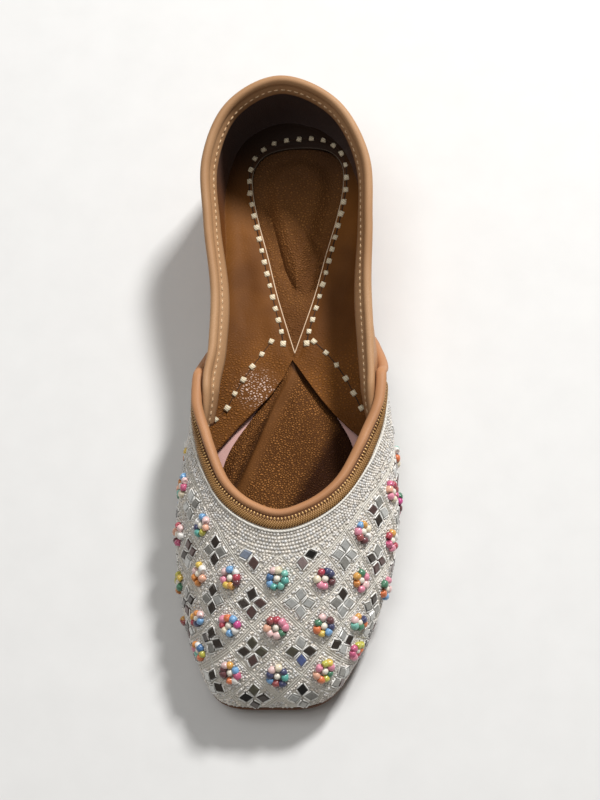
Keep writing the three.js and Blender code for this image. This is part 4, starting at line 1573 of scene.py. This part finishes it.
pearls = copies(
    "cluster_pearls", PEARL, colour_bead, pearl_points, pearl_up, (1, 0, 0), PEARL_SIZE, pearl_tint
)
finished(pearls, "embroidery")

# %% [markdown]
# ## Mirrors
# A small mirror is a rhombus with a bevelled rim, and four thin silver bars frame it. A modelled bevel
# catches the light on its own, where a flat face with a bump texture would stay dull.

# %% Mirrors and their silver bars
# Painted reflections: each mirror's colour stands for what it reflects, pale or dark
MIRROR_REFLECTIONS = {
    "black": rgb(34, 32, 30),
    "dark": rgb(66, 58, 52),
    "brown": rgb(96, 74, 70),
    "olive": rgb(90, 86, 72),
    "mauve": rgb(152, 134, 132),
    "grey": rgb(152, 150, 144),
    "pale": rgb(192, 192, 188),
    "steel": rgb(150, 160, 178),
    "blue": rgb(98, 112, 162),
}
# Row and column of a cell, and its mirrors' painted reflections: on the throat's side, right, on the toe's
# side, left
MIRRORS = {
    (0.5, -1.5): "dark grey dark grey",
    (0.5, -0.5): "grey brown brown steel",
    (0.5, 0.5): "grey black mauve olive",
    (0.5, 1.5): "pale pale grey pale",
    (1.5, -1.5): "dark pale dark grey",
    (1.5, -0.5): "dark brown brown dark",
    (1.5, 0.5): "pale pale pale pale",
    (1.5, 1.5): "dark pale pale grey",
    (2.5, -1.5): "dark dark grey dark",
    (2.5, -0.5): "olive olive brown dark",
    (2.5, 0.5): "pale dark blue olive",
    (2.5, 1.5): "pale dark pale dark",
    (3.5, -0.5): "olive dark dark black",
    (3.5, 0.5): "black grey grey pale",
}
MIRROR_LONG = 2.45
MIRROR_SHORT = 1.95
MIRROR_OUT = 3.3
MIRROR_LIFT = 0.45
BAR_SIZE = (0.27, 0.27, 1.5)
PLATE_RIM = 0.8
BAR = lathe([(0, -1), (0.8, -0.96), (1, -0.88), (1, 0.88), (0.8, 0.96), (0, 1)], 6)
rhombus = np.array([(1, 0), (0, 1), (-1, 0), (0, -1)])
plate_points = [(x, y, -0.5) for x, y in rhombus] + [(x, y, 0.15) for x, y in rhombus]
plate_points += [(PLATE_RIM * x, PLATE_RIM * y, 0.5) for x, y in rhombus]
plate_faces = [(3, 2, 1, 0), (8, 9, 10, 11)]
for low in (0, 4):
    plate_faces += [(low + k, low + (k + 1) % 4, low + 4 + (k + 1) % 4, low + 4 + k) for k in range(4)]
PLATE = (plate_points, plate_faces)
print("mirror cells listed:", len(MIRRORS))

# %% Setting the mirrors
mirror_points, mirror_up, mirror_run, mirror_size, mirror_reflection = [], [], [], [], []
bar_points, bar_up, bar_run = [], [], []
mirror_centres, mirror_halves = [], []
for row in np.arange(-2.5, 6):
    for column in np.arange(-5.5, 6):
        tints = MIRRORS.get((row, column))
        tints = tints.split() if tints else list(random.choice(["dark", "grey", "pale", "brown"], 4))
        for tint, (step_across, step_forward) in zip(tints, ((0, -1), (1, 0), (0, 1), (-1, 0))):
            across = LATTICE_ACROSS + column * CELL_DIAGONAL + step_across * MIRROR_OUT
            forward = LATTICE_FORWARD + row * CELL_DIAGONAL + step_forward * MIRROR_OUT
            half = np.array((MIRROR_LONG, MIRROR_SHORT) if step_across else (MIRROR_SHORT, MIRROR_LONG))
            found = free_place(across, forward, 2.4, 4.0, 2.5)
            ways = pattern_directions(across, forward)
            if not found or not ways:
                continue
            place, normal = found
            mirror_centres.append((across, forward))
            mirror_halves.append(half)
            spin = random.normal(0, 0.14)
            scale = random.uniform(0.9, 1.05)
            run = ways[0] * math.cos(spin) + ways[1] * math.sin(spin)
            side = unit(np.cross(normal, run))
            tilt = unit(normal + random.normal(0, 0.05, 3))
            mirror_points.append(place + normal * MIRROR_LIFT)
            mirror_up.append(tilt)
            mirror_run.append(run)
            mirror_size.append((*(half * scale), 1.0))
            mirror_reflection.append(MIRROR_REFLECTIONS[tint])
            for sx, sy in ((1, 1), (-1, 1), (-1, -1), (1, -1)):
                middle = run * sx * (half[0] + 0.6) / 2 + side * sy * (half[1] + 0.6) / 2
                bar_points.append(place + middle + normal * random.uniform(0.35, 0.6))
                bar_up.append(unit(run * sx * half[0] - side * sy * half[1]))
                bar_run.append(normal)
mirrors = copies(
    "mirrors", PLATE, mirror_glass, mirror_points, mirror_up, mirror_run, np.array(mirror_size), mirror_reflection,
    smooth=False,
)
finished(mirrors, "embroidery")
bar_tone = random.uniform(0.7, 0.95, (len(bar_points), 1)) * np.array([[1, 0.98, 0.93]])
bar_tint = np.concatenate([bar_tone, np.ones((len(bar_points), 1))], 1)
bars = copies("silver_bars", BAR, seed_bead, bar_points, bar_up, bar_run, BAR_SIZE, bar_tint)
finished(bars, "embroidery")

# %% [markdown]
# ## Seed beads
# The ground between cords, mirrors and clusters is filled with seed beads. Particles could be strewn over
# the cloth, but they overlap and cross the cords. A shaken grid in the cells' own directions keeps its
# distance from everything else.

# %% Seed beads on the ground
SEED_PITCH = 1.02
SEED_JITTER = 0.32
SEED_FROM_CORD = 0.74
SEED_FROM_CLUSTER = 1.2
seed_points, seed_up = [], []
mirror_at = np.array(mirror_centres)
mirror_reach = np.array(mirror_halves) + 1.0
cluster_at = np.array(cluster_centres)
pitch = SEED_PITCH / CELL_SIDE
for u in np.arange(CELL_RANGE.start, CELL_RANGE.stop, pitch):
    for v in np.arange(CELL_RANGE.start, CELL_RANGE.stop, pitch):
        from_cord = min(abs(u % 1 - 0.5), abs(v % 1 - 0.5)) * CELL_SIDE
        jitter = random.uniform(-SEED_JITTER, SEED_JITTER, 2)
        across, forward = lattice_to_pattern(u, v)
        if from_cord < SEED_FROM_CORD or not plane_length[0] < forward < plane_length[-1] + 5:
            continue
        across, forward = across + jitter[0], forward + jitter[1]
        spot = np.array((across, forward))
        if np.any(np.sum(np.abs(mirror_at - spot) / mirror_reach, axis=1) < 1):
            continue
        if np.any(np.linalg.norm(cluster_at - spot, axis=1) < SEED_FROM_CLUSTER):
            continue
        found = free_place(across, forward, 1.05, from_throat=2.9)
        if found:
            seed_points.append(found[0] + found[1] * SEED_LIFT)
            seed_up.append(found[1])

seed_size = random.uniform(0.50, 0.66, (len(seed_points), 1)) * np.array([[1, 1, 0.8]])
seeds = copies(
    "seed_beads", SEED, seed_bead, seed_points, seed_up, (1, 0, 0), seed_size, silver_tints(len(seed_points))
)
finished(seeds, "embroidery")

# %% [markdown]
# ## Inside
# On a pale pink lined base lies the sock, a brown leather cover with a notched front and a drop-shaped
# window. In the window a cushion swells under the heel, and in front lies the forefoot pad. Ivory lacing
# runs along the window and behind the notch. The base is a stack of rings, like the sole.

# %% Lined base
base_rings = [
    foot_ring(-0.4, lambda y: sole_top(y) + GAP),
    foot_ring(0.2, lambda y: sole_top(y) + GAP + 1.2),
    foot_ring(0.4, lambda y: sole_top(y) + INSOLE_TOP),
    foot_ring(-3.0, lambda y: sole_top(y) + INSOLE_TOP + 0.05),
]
lined_base = stack_piece("lined_base", np.array(base_rings), [pink_lining])
finished(lined_base, "pink_lining", "insole")

# %% [markdown]
# ## Outlines inside
# Window, cushion and pad are mirrored outlines, given as half widths along a middle line. The sock's
# notch is not mirrored, so it is a list of points. Helpers measure how far a point is from an outline and
# from a crease, and all heights below are built from these distances.

# %% Outlines inside
INSIDE_X = 5.3
WINDOW_ROWS = np.array([  # % of the length, % of the ball's width; tip first
    [58.0, 0.0],
    [58.6, 0.8],
    [67.5, 8.8],
    [75.0, 14.3],
    [82.0, 19.8],
    [87.5, 22.8],
    [91.5, 22.0],
    [94.3, 14.5],
    [95.2, 0.0],
])
PUFF_ROWS = np.array([  # the swelling of the heel cushion inside the window
    [68.0, 0.0],
    [69.0, 1.8],
    [75.0, 8.2],
    [82.0, 13.6],
    [88.0, 16.6],
    [92.0, 12.0],
    [93.4, 0.0],
])
PAD_ROWS = np.array([  # the forefoot pad, from its back point to the toe
    [57.4, 0.0],
    [56.6, 2.2],
    [53.4, 7.6],
    [50.0, 14.4],
    [47.2, 20.1],
    [41.2, 29.9],
    [32.0, 35.4],
    [20.0, 37.2],
    [10.0, 29.0],
    [5.2, 16.0],
    [4.0, 0.0],
])
NOTCH_EDGE = np.array([  # the sock's front edge from left to right, in millimetres
    [-37.0, -35.0],
    [-25.4, -21.8],
    [-17.4, -12.2],
    [-9.2, -4.0],
    [-3.9, 1.8],
    [0.9, 8.9],
    [4.4, 16.6],
    [10.3, 7.9],
    [16.5, -0.7],
    [21.8, -7.1],
    [26.0, -11.4],
    [38.0, -22.5],
])
NOTCH_TIP = int(np.argmax(NOTCH_EDGE[:, 1]))
CREASE_STEPS = 60
print("notch tip:", NOTCH_EDGE[NOTCH_TIP], "mm")

# %% Outline helpers


def straight(y):
    """The middle line of window and cushion, which doesn't follow the last's curve."""
    return INSIDE_X + 0 * np.asarray(y)


def pad_middle(y):
    """The pad's middle line, drawn to the left where the pad is widest at its back."""
    return curve_shift(y) - 0.9 * np.exp(-(((np.asarray(y) + 26) / 10) ** 2))


def resample(path, count, closed=True):
    """A path's plan points, again, at an even pitch."""
    loop = np.concatenate([path, path[:1]]) if closed else path
    length = path_length(loop)
    wanted = np.linspace(0, length[-1], count, endpoint=not closed)
    return at_lengths(wanted, length, loop)


def outline_loop(rows, count, centre_at):
    """An even loop of plan points from outline rows, round a middle line."""
    at = np.linspace(0, 2 * (len(rows) - 1), 2000, endpoint=False)
    y = along_to_y(smooth_ring(rows, 0, False, at))
    x = smooth_ring(rows, 1, True, at) / 100 * BALL_WIDTH + centre_at(y)
    return resample(np.stack([x, y], -1), count)


def loop_distance(x, y, loop):
    """Plan distance from points to the nearest point of a loop."""
    points = np.stack([x, y], -1)
    return np.min(np.linalg.norm(points[:, None, :] - loop[None, :, :], axis=2), axis=1)


def inside_loop(x, y, loop):
    """Which plan points lie inside a loop."""
    x, y = x[:, None], y[:, None]
    x0, y0 = loop[:, 0][None], loop[:, 1][None]
    x1, y1 = np.roll(x0, -1, 1), np.roll(y0, -1, 1)
    rise = np.where(y1 == y0, 1e-9, y1 - y0)
    crosses = ((y0 > y) != (y1 > y)) & (x < (x1 - x0) * (y - y0) / rise + x0)
    return np.sum(crosses, 1) % 2 == 1


def notch_distance(x, y):
    """Millimetres behind the sock's front edge."""
    return (y - np.interp(x, NOTCH_EDGE[:, 0], NOTCH_EDGE[:, 1])) * 0.65


def crease(x, y, path, depth, width):
    """A valley along a path of plan points, fading out at both ends."""
    path = resample(np.array(path, float), CREASE_STEPS, closed=False)
    away = np.linalg.norm(np.stack([x, y], -1)[:, None, :] - path[None], axis=2)
    nearest = np.argmin(away, 1)
    fade = np.sin(math.pi * (nearest + 0.5) / CREASE_STEPS) ** 0.5
    return -depth * fade * np.exp(-((np.min(away, 1) / width) ** 2))


def wall_plan(at, above):
    """Where the wall's inside is, seen from above, at a height above the sole's top."""
    rises = np.linspace(0, 0.7, 71)
    found = []
    for each in at:
        points = last_point(np.full_like(rises, each), rises)
        rise = np.interp(above, points[:, 2] - sole_top(points[:, 1]), rises)
        found.append(last_point(each, rise)[:2])
    return np.array(found) + outward(at) * 0.15


SOCK_TOP = INSOLE_TOP + GAP + 1.2
SOCK_CLIMB = 5.9
window_loop = outline_loop(WINDOW_ROWS, 400, straight)
puff_loop = outline_loop(PUFF_ROWS, 240, straight)
pad_loop = outline_loop(PAD_ROWS, 360, pad_middle)
wall_loop = wall_plan(ring_steps, SOCK_TOP + SOCK_CLIMB)
print("window, puff, pad and wall outlines:", len(window_loop), len(puff_loop), len(pad_loop), len(wall_loop))

# %% [markdown]
# ## Sock
# A sheet of leather could be draped by cloth simulation. Here it is glued down and its folds are known,
# so its height is a sum: it climbs the wall, lifts along the notch, swells beside it, and dips at
# listed creases.

# %% Sock
SOCK_THICKNESS = 1.1
SOCK_STEPS = 30
SOCK_CREASES = [  # path, depth and width of the main creases, in millimetres
    ([(-27, 30), (-20, 14), (-16, -4)], 0.35, 2.2),
    ([(34, 26), (30, 10), (24, -4)], 0.40, 2.4),
    ([(-24, 64), (-20, 44), (-12, 24)], 0.30, 2.6),
    ([(30, 70), (26, 46), (19, 28)], 0.30, 2.4),
    ([(-3, 14), (-9, 8), (-13, 0)], 0.25, 1.3),
]
FLAP_SWELLS = [  # middle, height and half sizes of the soft swellings beside the notch, in millimetres
    ((-16, 4), 2.2, (11, 17)),
    ((31, 8), 1.6, (9, 18)),
]


def sock_height(x, y):
    """The sock's top: it climbs the wall, dips at the lacing, and lifts along its front edge."""
    to_window = loop_distance(x, y, window_loop[::2])
    to_wall = loop_distance(x, y, wall_loop)
    tip_x = NOTCH_EDGE[NOTCH_TIP, 0]
    right = x > tip_x
    most = np.where(right, 1.7, 0.15 + 0.85 * ramp(-18, -8, x))
    lift = most * np.exp(-np.maximum(notch_distance(x, y), 0) / np.where(right, 3.0, 4.5))
    lift = lift * ramp(-1.0, 6, np.abs(x - tip_x))
    climb = SOCK_CLIMB * np.exp(-to_wall / 4.2)
    bulge = sum(
        high * np.exp(-(((x - middle[0]) / half[0]) ** 2) - ((y - middle[1]) / half[1]) ** 2)
        for middle, high, half in FLAP_SWELLS
    )
    swell = 0.4 * np.exp(-(((to_window - 6.0) / 3.0) ** 2)) - 0.35 * np.exp(-(((to_window - 1.9) / 0.9) ** 2))
    folds = sum(crease(x, y, *each) for each in SOCK_CREASES)
    ripple = 0.10 * np.sin(x * 0.55 + y * 0.21) * np.sin(y * 0.33 - x * 0.17)
    return sole_top(y) + SOCK_TOP + lift + climb + bulge + swell + folds + ripple


tip_height = sock_height(NOTCH_EDGE[NOTCH_TIP : NOTCH_TIP + 1, 0], NOTCH_EDGE[NOTCH_TIP : NOTCH_TIP + 1, 1])
print("sock's top at the notch:", tip_height.round(1), "mm")

# %% The sock's mesh
inside_wall = notch_distance(wall_loop[:, 0], wall_loop[:, 1]) > 0
wall_part = wall_loop[inside_wall]
start = int(np.argmax(np.linalg.norm(np.roll(wall_part, 1, 0) - wall_part, axis=1)))
wall_part = np.roll(wall_part, -start, 0)
edge_right = resample(NOTCH_EDGE[NOTCH_TIP:], 400, closed=False)
edge_left = resample(NOTCH_EDGE[: NOTCH_TIP + 1], 400, closed=False)
edge_right = edge_right[inside_loop(edge_right[:, 0], edge_right[:, 1], wall_loop)]
edge_left = edge_left[inside_loop(edge_left[:, 0], edge_left[:, 1], wall_loop)]
sock_loop = resample(np.concatenate([edge_right, wall_part, edge_left[:-1]]), len(window_loop))
share = np.linspace(0, 1, SOCK_STEPS)
sock_plan = window_loop[:, None, :] + (sock_loop - window_loop)[:, None, :] * share[None, :, None]
sock_z = sock_height(sock_plan[..., 0].ravel(), sock_plan[..., 1].ravel()).reshape(sock_plan.shape[:2])
sock_upper = np.concatenate([sock_plan, sock_z[..., None]], -1)
sock_lower = sock_upper - np.array([0, 0, SOCK_THICKNESS])
count = sock_z.size
upper_faces = grid_faces(len(window_loop), SOCK_STEPS, 0, close=True)
lower_faces = grid_faces(len(window_loop), SOCK_STEPS, count, close=True)
ids = np.arange(count).reshape(sock_z.shape)
rim_faces = []
for edge in (ids[:, 0], ids[:, -1]):
    nxt = np.roll(edge, -1)
    rim_faces.append(np.stack([edge, nxt, nxt + count, edge + count], -1))
rim_faces = np.concatenate(rim_faces)
sock = make_piece(
    "sock",
    np.concatenate([sock_upper.reshape(-1, 3), sock_lower.reshape(-1, 3)]),
    np.concatenate([upper_faces, lower_faces, rim_faces]),
    [brown_leather, raw_edge],
    np.repeat([0, 0, 1, 0], [len(upper_faces), len(lower_faces), len(ids), len(ids)]),
)
finished(sock, "brown_leather", "sock")

# %% [markdown]
# ## Cut edge and lacing
# The window's cut edge is a thin pale cord. The lacing is a row of square ivory stitches, each a little
# askew, over a dark cord of painted shade that shows between them.

# %% Cut edge and lacing
CUT_EDGE_RADIUS = 0.24
LACE_PITCH = 5.5
NOTCH_LACE_PITCH = 7.2
LACE_LIFT = 0.15
LACE_SIZE = np.array([1.26, 1.16, 1.0])
LACE_SHADE_RADIUS = 0.32
LACE_SHADE_SUNK = (-0.05, -0.26, -0.16)
LACE = lathe([(1.25, -0.7), (1.35, -0.1), (1.15, 0.4), (0.6, 0.66), (0, 0.72)], 4, math.pi / 4)
LACE_HALF = np.array([  # distance from the window's middle line, and place along the shoe, in millimetres
    [4.8, 23.5],
    [5.6, 28.7],
    [7.2, 34.7],
    [8.7, 40.5],
    [12.7, 57.0],
    [18.4, 82.2],
    [20.6, 94.0],
    [20.5, 102.0],
    [18.4, 108.7],
    [13.0, 114.2],
    [6.0, 116.2],
    [0.0, 116.5],
])
NOTCH_LACE = [
    [(-4.3, 24.5), (-11.5, 13.8), (-18.3, 2.5), (-21.6, -4.2), (-26.0, -9.0)],
    [(13.0, 24.2), (17.0, 20.6), (22.1, 14.3), (26.2, 7.9), (29.4, 1.6), (32.4, -4.6)],
]


def on_sock(plan, lift):
    """Plan points set on the sock's top, lifted by some millimetres."""
    return np.concatenate([plan, (sock_height(plan[:, 0], plan[:, 1]) + lift)[:, None]], 1)


edge_line = on_sock(np.concatenate([window_loop, window_loop[:1]]), -0.1)
cut_edge = cords("sock_cut_edge", [edge_line], CUT_EDGE_RADIUS, 6, raw_edge)
finished(cut_edge, "brown_leather")

right_half = LACE_HALF + (INSIDE_X, 0)
left_half = LACE_HALF[:-1] * (-1, 1) + (INSIDE_X, 0)
lace_plans = [(np.concatenate([left_half, right_half[::-1]]), LACE_PITCH)]
lace_plans += [(np.array(path), NOTCH_LACE_PITCH) for path in NOTCH_LACE]
lace_paths = []
for plan, pitch in lace_plans:
    lace_paths.append(spaced(on_sock(resample(plan, 200, closed=False), LACE_LIFT), pitch))
lace_points = np.concatenate(lace_paths)
lace_run = np.concatenate([flat_run(path) for path in lace_paths])
lace_run = unit(lace_run + random.normal(0, 0.14, lace_run.shape) * (1, 1, 0))
lace_size = LACE_SIZE * random.uniform(0.85, 1.1, (len(lace_points), 1))
lacing = copies("sock_lacing", LACE, ivory_lace, lace_points, (0, 0, 1), lace_run, lace_size)
finished(lacing, "brown_leather")
# Painted shade between the stitches: a dark cord sunk into the sock under each line of lacing
lace_shade_paths = []
for (plan, _), sunk in zip(lace_plans, LACE_SHADE_SUNK):
    lace_shade_paths.append(on_sock(resample(plan, 160, closed=False), sunk))
lace_shade_cord = cords("sock_lace_groove", lace_shade_paths, LACE_SHADE_RADIUS, 6, lace_shade)
finished(lace_shade_cord, "brown_leather")

# %% [markdown]
# ## Cushion and pad
# Cloth simulation is the usual way to puff up a pad. These two are thin and glued down, and a simulation
# would smooth their creases away. So outline rings draw in towards a middle line, and each point's height
# is worked out from swellings and creases.

# %% Heel cushion and forefoot pad
CUSHION_CREASES = [
    ([(-8.0, 88), (-7.0, 83), (-3.8, 70), (-0.6, 57), (3.2, 50), (7.8, 45.4)], 2.0, 1.5),
    ([(6.5, 78), (14.1, 67), (15.5, 59), (12.3, 49), (8.3, 43.6)], 1.4, 1.6),
    ([(-2.0, 96), (2.0, 88), (6.5, 78)], 0.4, 2.2),
]
PAD_CREASES = [
    ([(1.0, 8), (-3.6, -1.7), (-8.6, -13), (-12.8, -24), (-17.2, -35.5), (-20, -44)], 1.9, 1.3),
    ([(24.0, -14), (22.0, -26), (20.0, -40)], 0.4, 2.6),
    ([(4.6, 15.6), (10.0, 6.6), (16.0, -2.0), (21.4, -8.3), (25.5, -12.6)], 0.8, 1.3),
]


def pad_piece(name, rows, centre_at, height_at, shrinks, finish):
    """A pad from outline rings that draw in towards the middle line, at heights given for each plan point."""
    at = np.linspace(0, 2 * (len(rows) - 1), 280, endpoint=False)
    along = smooth_ring(rows, 0, False, at)
    half = smooth_ring(rows, 1, True, at) / 100 * BALL_WIDTH
    middle = (rows[0, 0] + rows[-1, 0]) / 2
    rings = []
    for level, shrink in enumerate([shrinks[0], *shrinks]):
        y = along_to_y(blend(along, middle, 0.8 * shrink))
        x = half * (1 - shrink) + centre_at(y)
        z = sole_top(y) + INSOLE_TOP + GAP + (0 if level == 0 else height_at(x, y))
        rings.append(np.stack([x, y, z], -1))
    return stack_piece(name, np.array(rings), [finish])


def cushion_height(x, y):
    """The cushion swells inside the puff's outline, between its creases."""
    depth = loop_distance(x, y, puff_loop) * np.where(inside_loop(x, y, puff_loop), 1, -1)
    edge = loop_distance(x, y, window_loop)
    swell = 2.9 * ramp(-1.0, 6.0, depth)
    return 0.45 + 0.2 * ramp(0, 2, edge) + swell + sum(crease(x, y, *each) for each in CUSHION_CREASES) * 0.8


def forefoot_height(x, y):
    """The pad is crowned in the middle, with a lip along its left edge."""
    edge = loop_distance(x, y, pad_loop)
    crown = 2.3 * ramp(1, 15, edge) + 0.6 * np.exp(-(((x - curve_shift(y) - 4) / 13) ** 2))
    lip = 1.7 * np.exp(-(((edge - 4.4) / 2.4) ** 2)) * (1 - ramp(-4, 2, x - curve_shift(y)))
    folds = sum(crease(x, y, *each) for each in PAD_CREASES)
    ripple = 0.12 * np.sin(x * 0.33 + 0.4) * np.sin(y * 0.19)
    return np.maximum(0.5 * ramp(-0.2, 1.4, edge) + lip + crown + folds + ripple, 0.15)


cushion_shrinks = np.concatenate([[-0.03], np.linspace(0.0, 0.985, 52)])
heel_cushion = pad_piece(
    "heel_cushion", WINDOW_ROWS, straight, cushion_height, cushion_shrinks, cushion_leather
)
finished(heel_cushion, "brown_leather", "heel_cushion")
pad_shrinks = np.concatenate([[0.0], np.linspace(0.008, 0.985, 60)])
forefoot_pad = pad_piece("forefoot_pad", PAD_ROWS, pad_middle, forefoot_height, pad_shrinks, pad_leather)
finished(forefoot_pad, "brown_leather", "forefoot_pad")
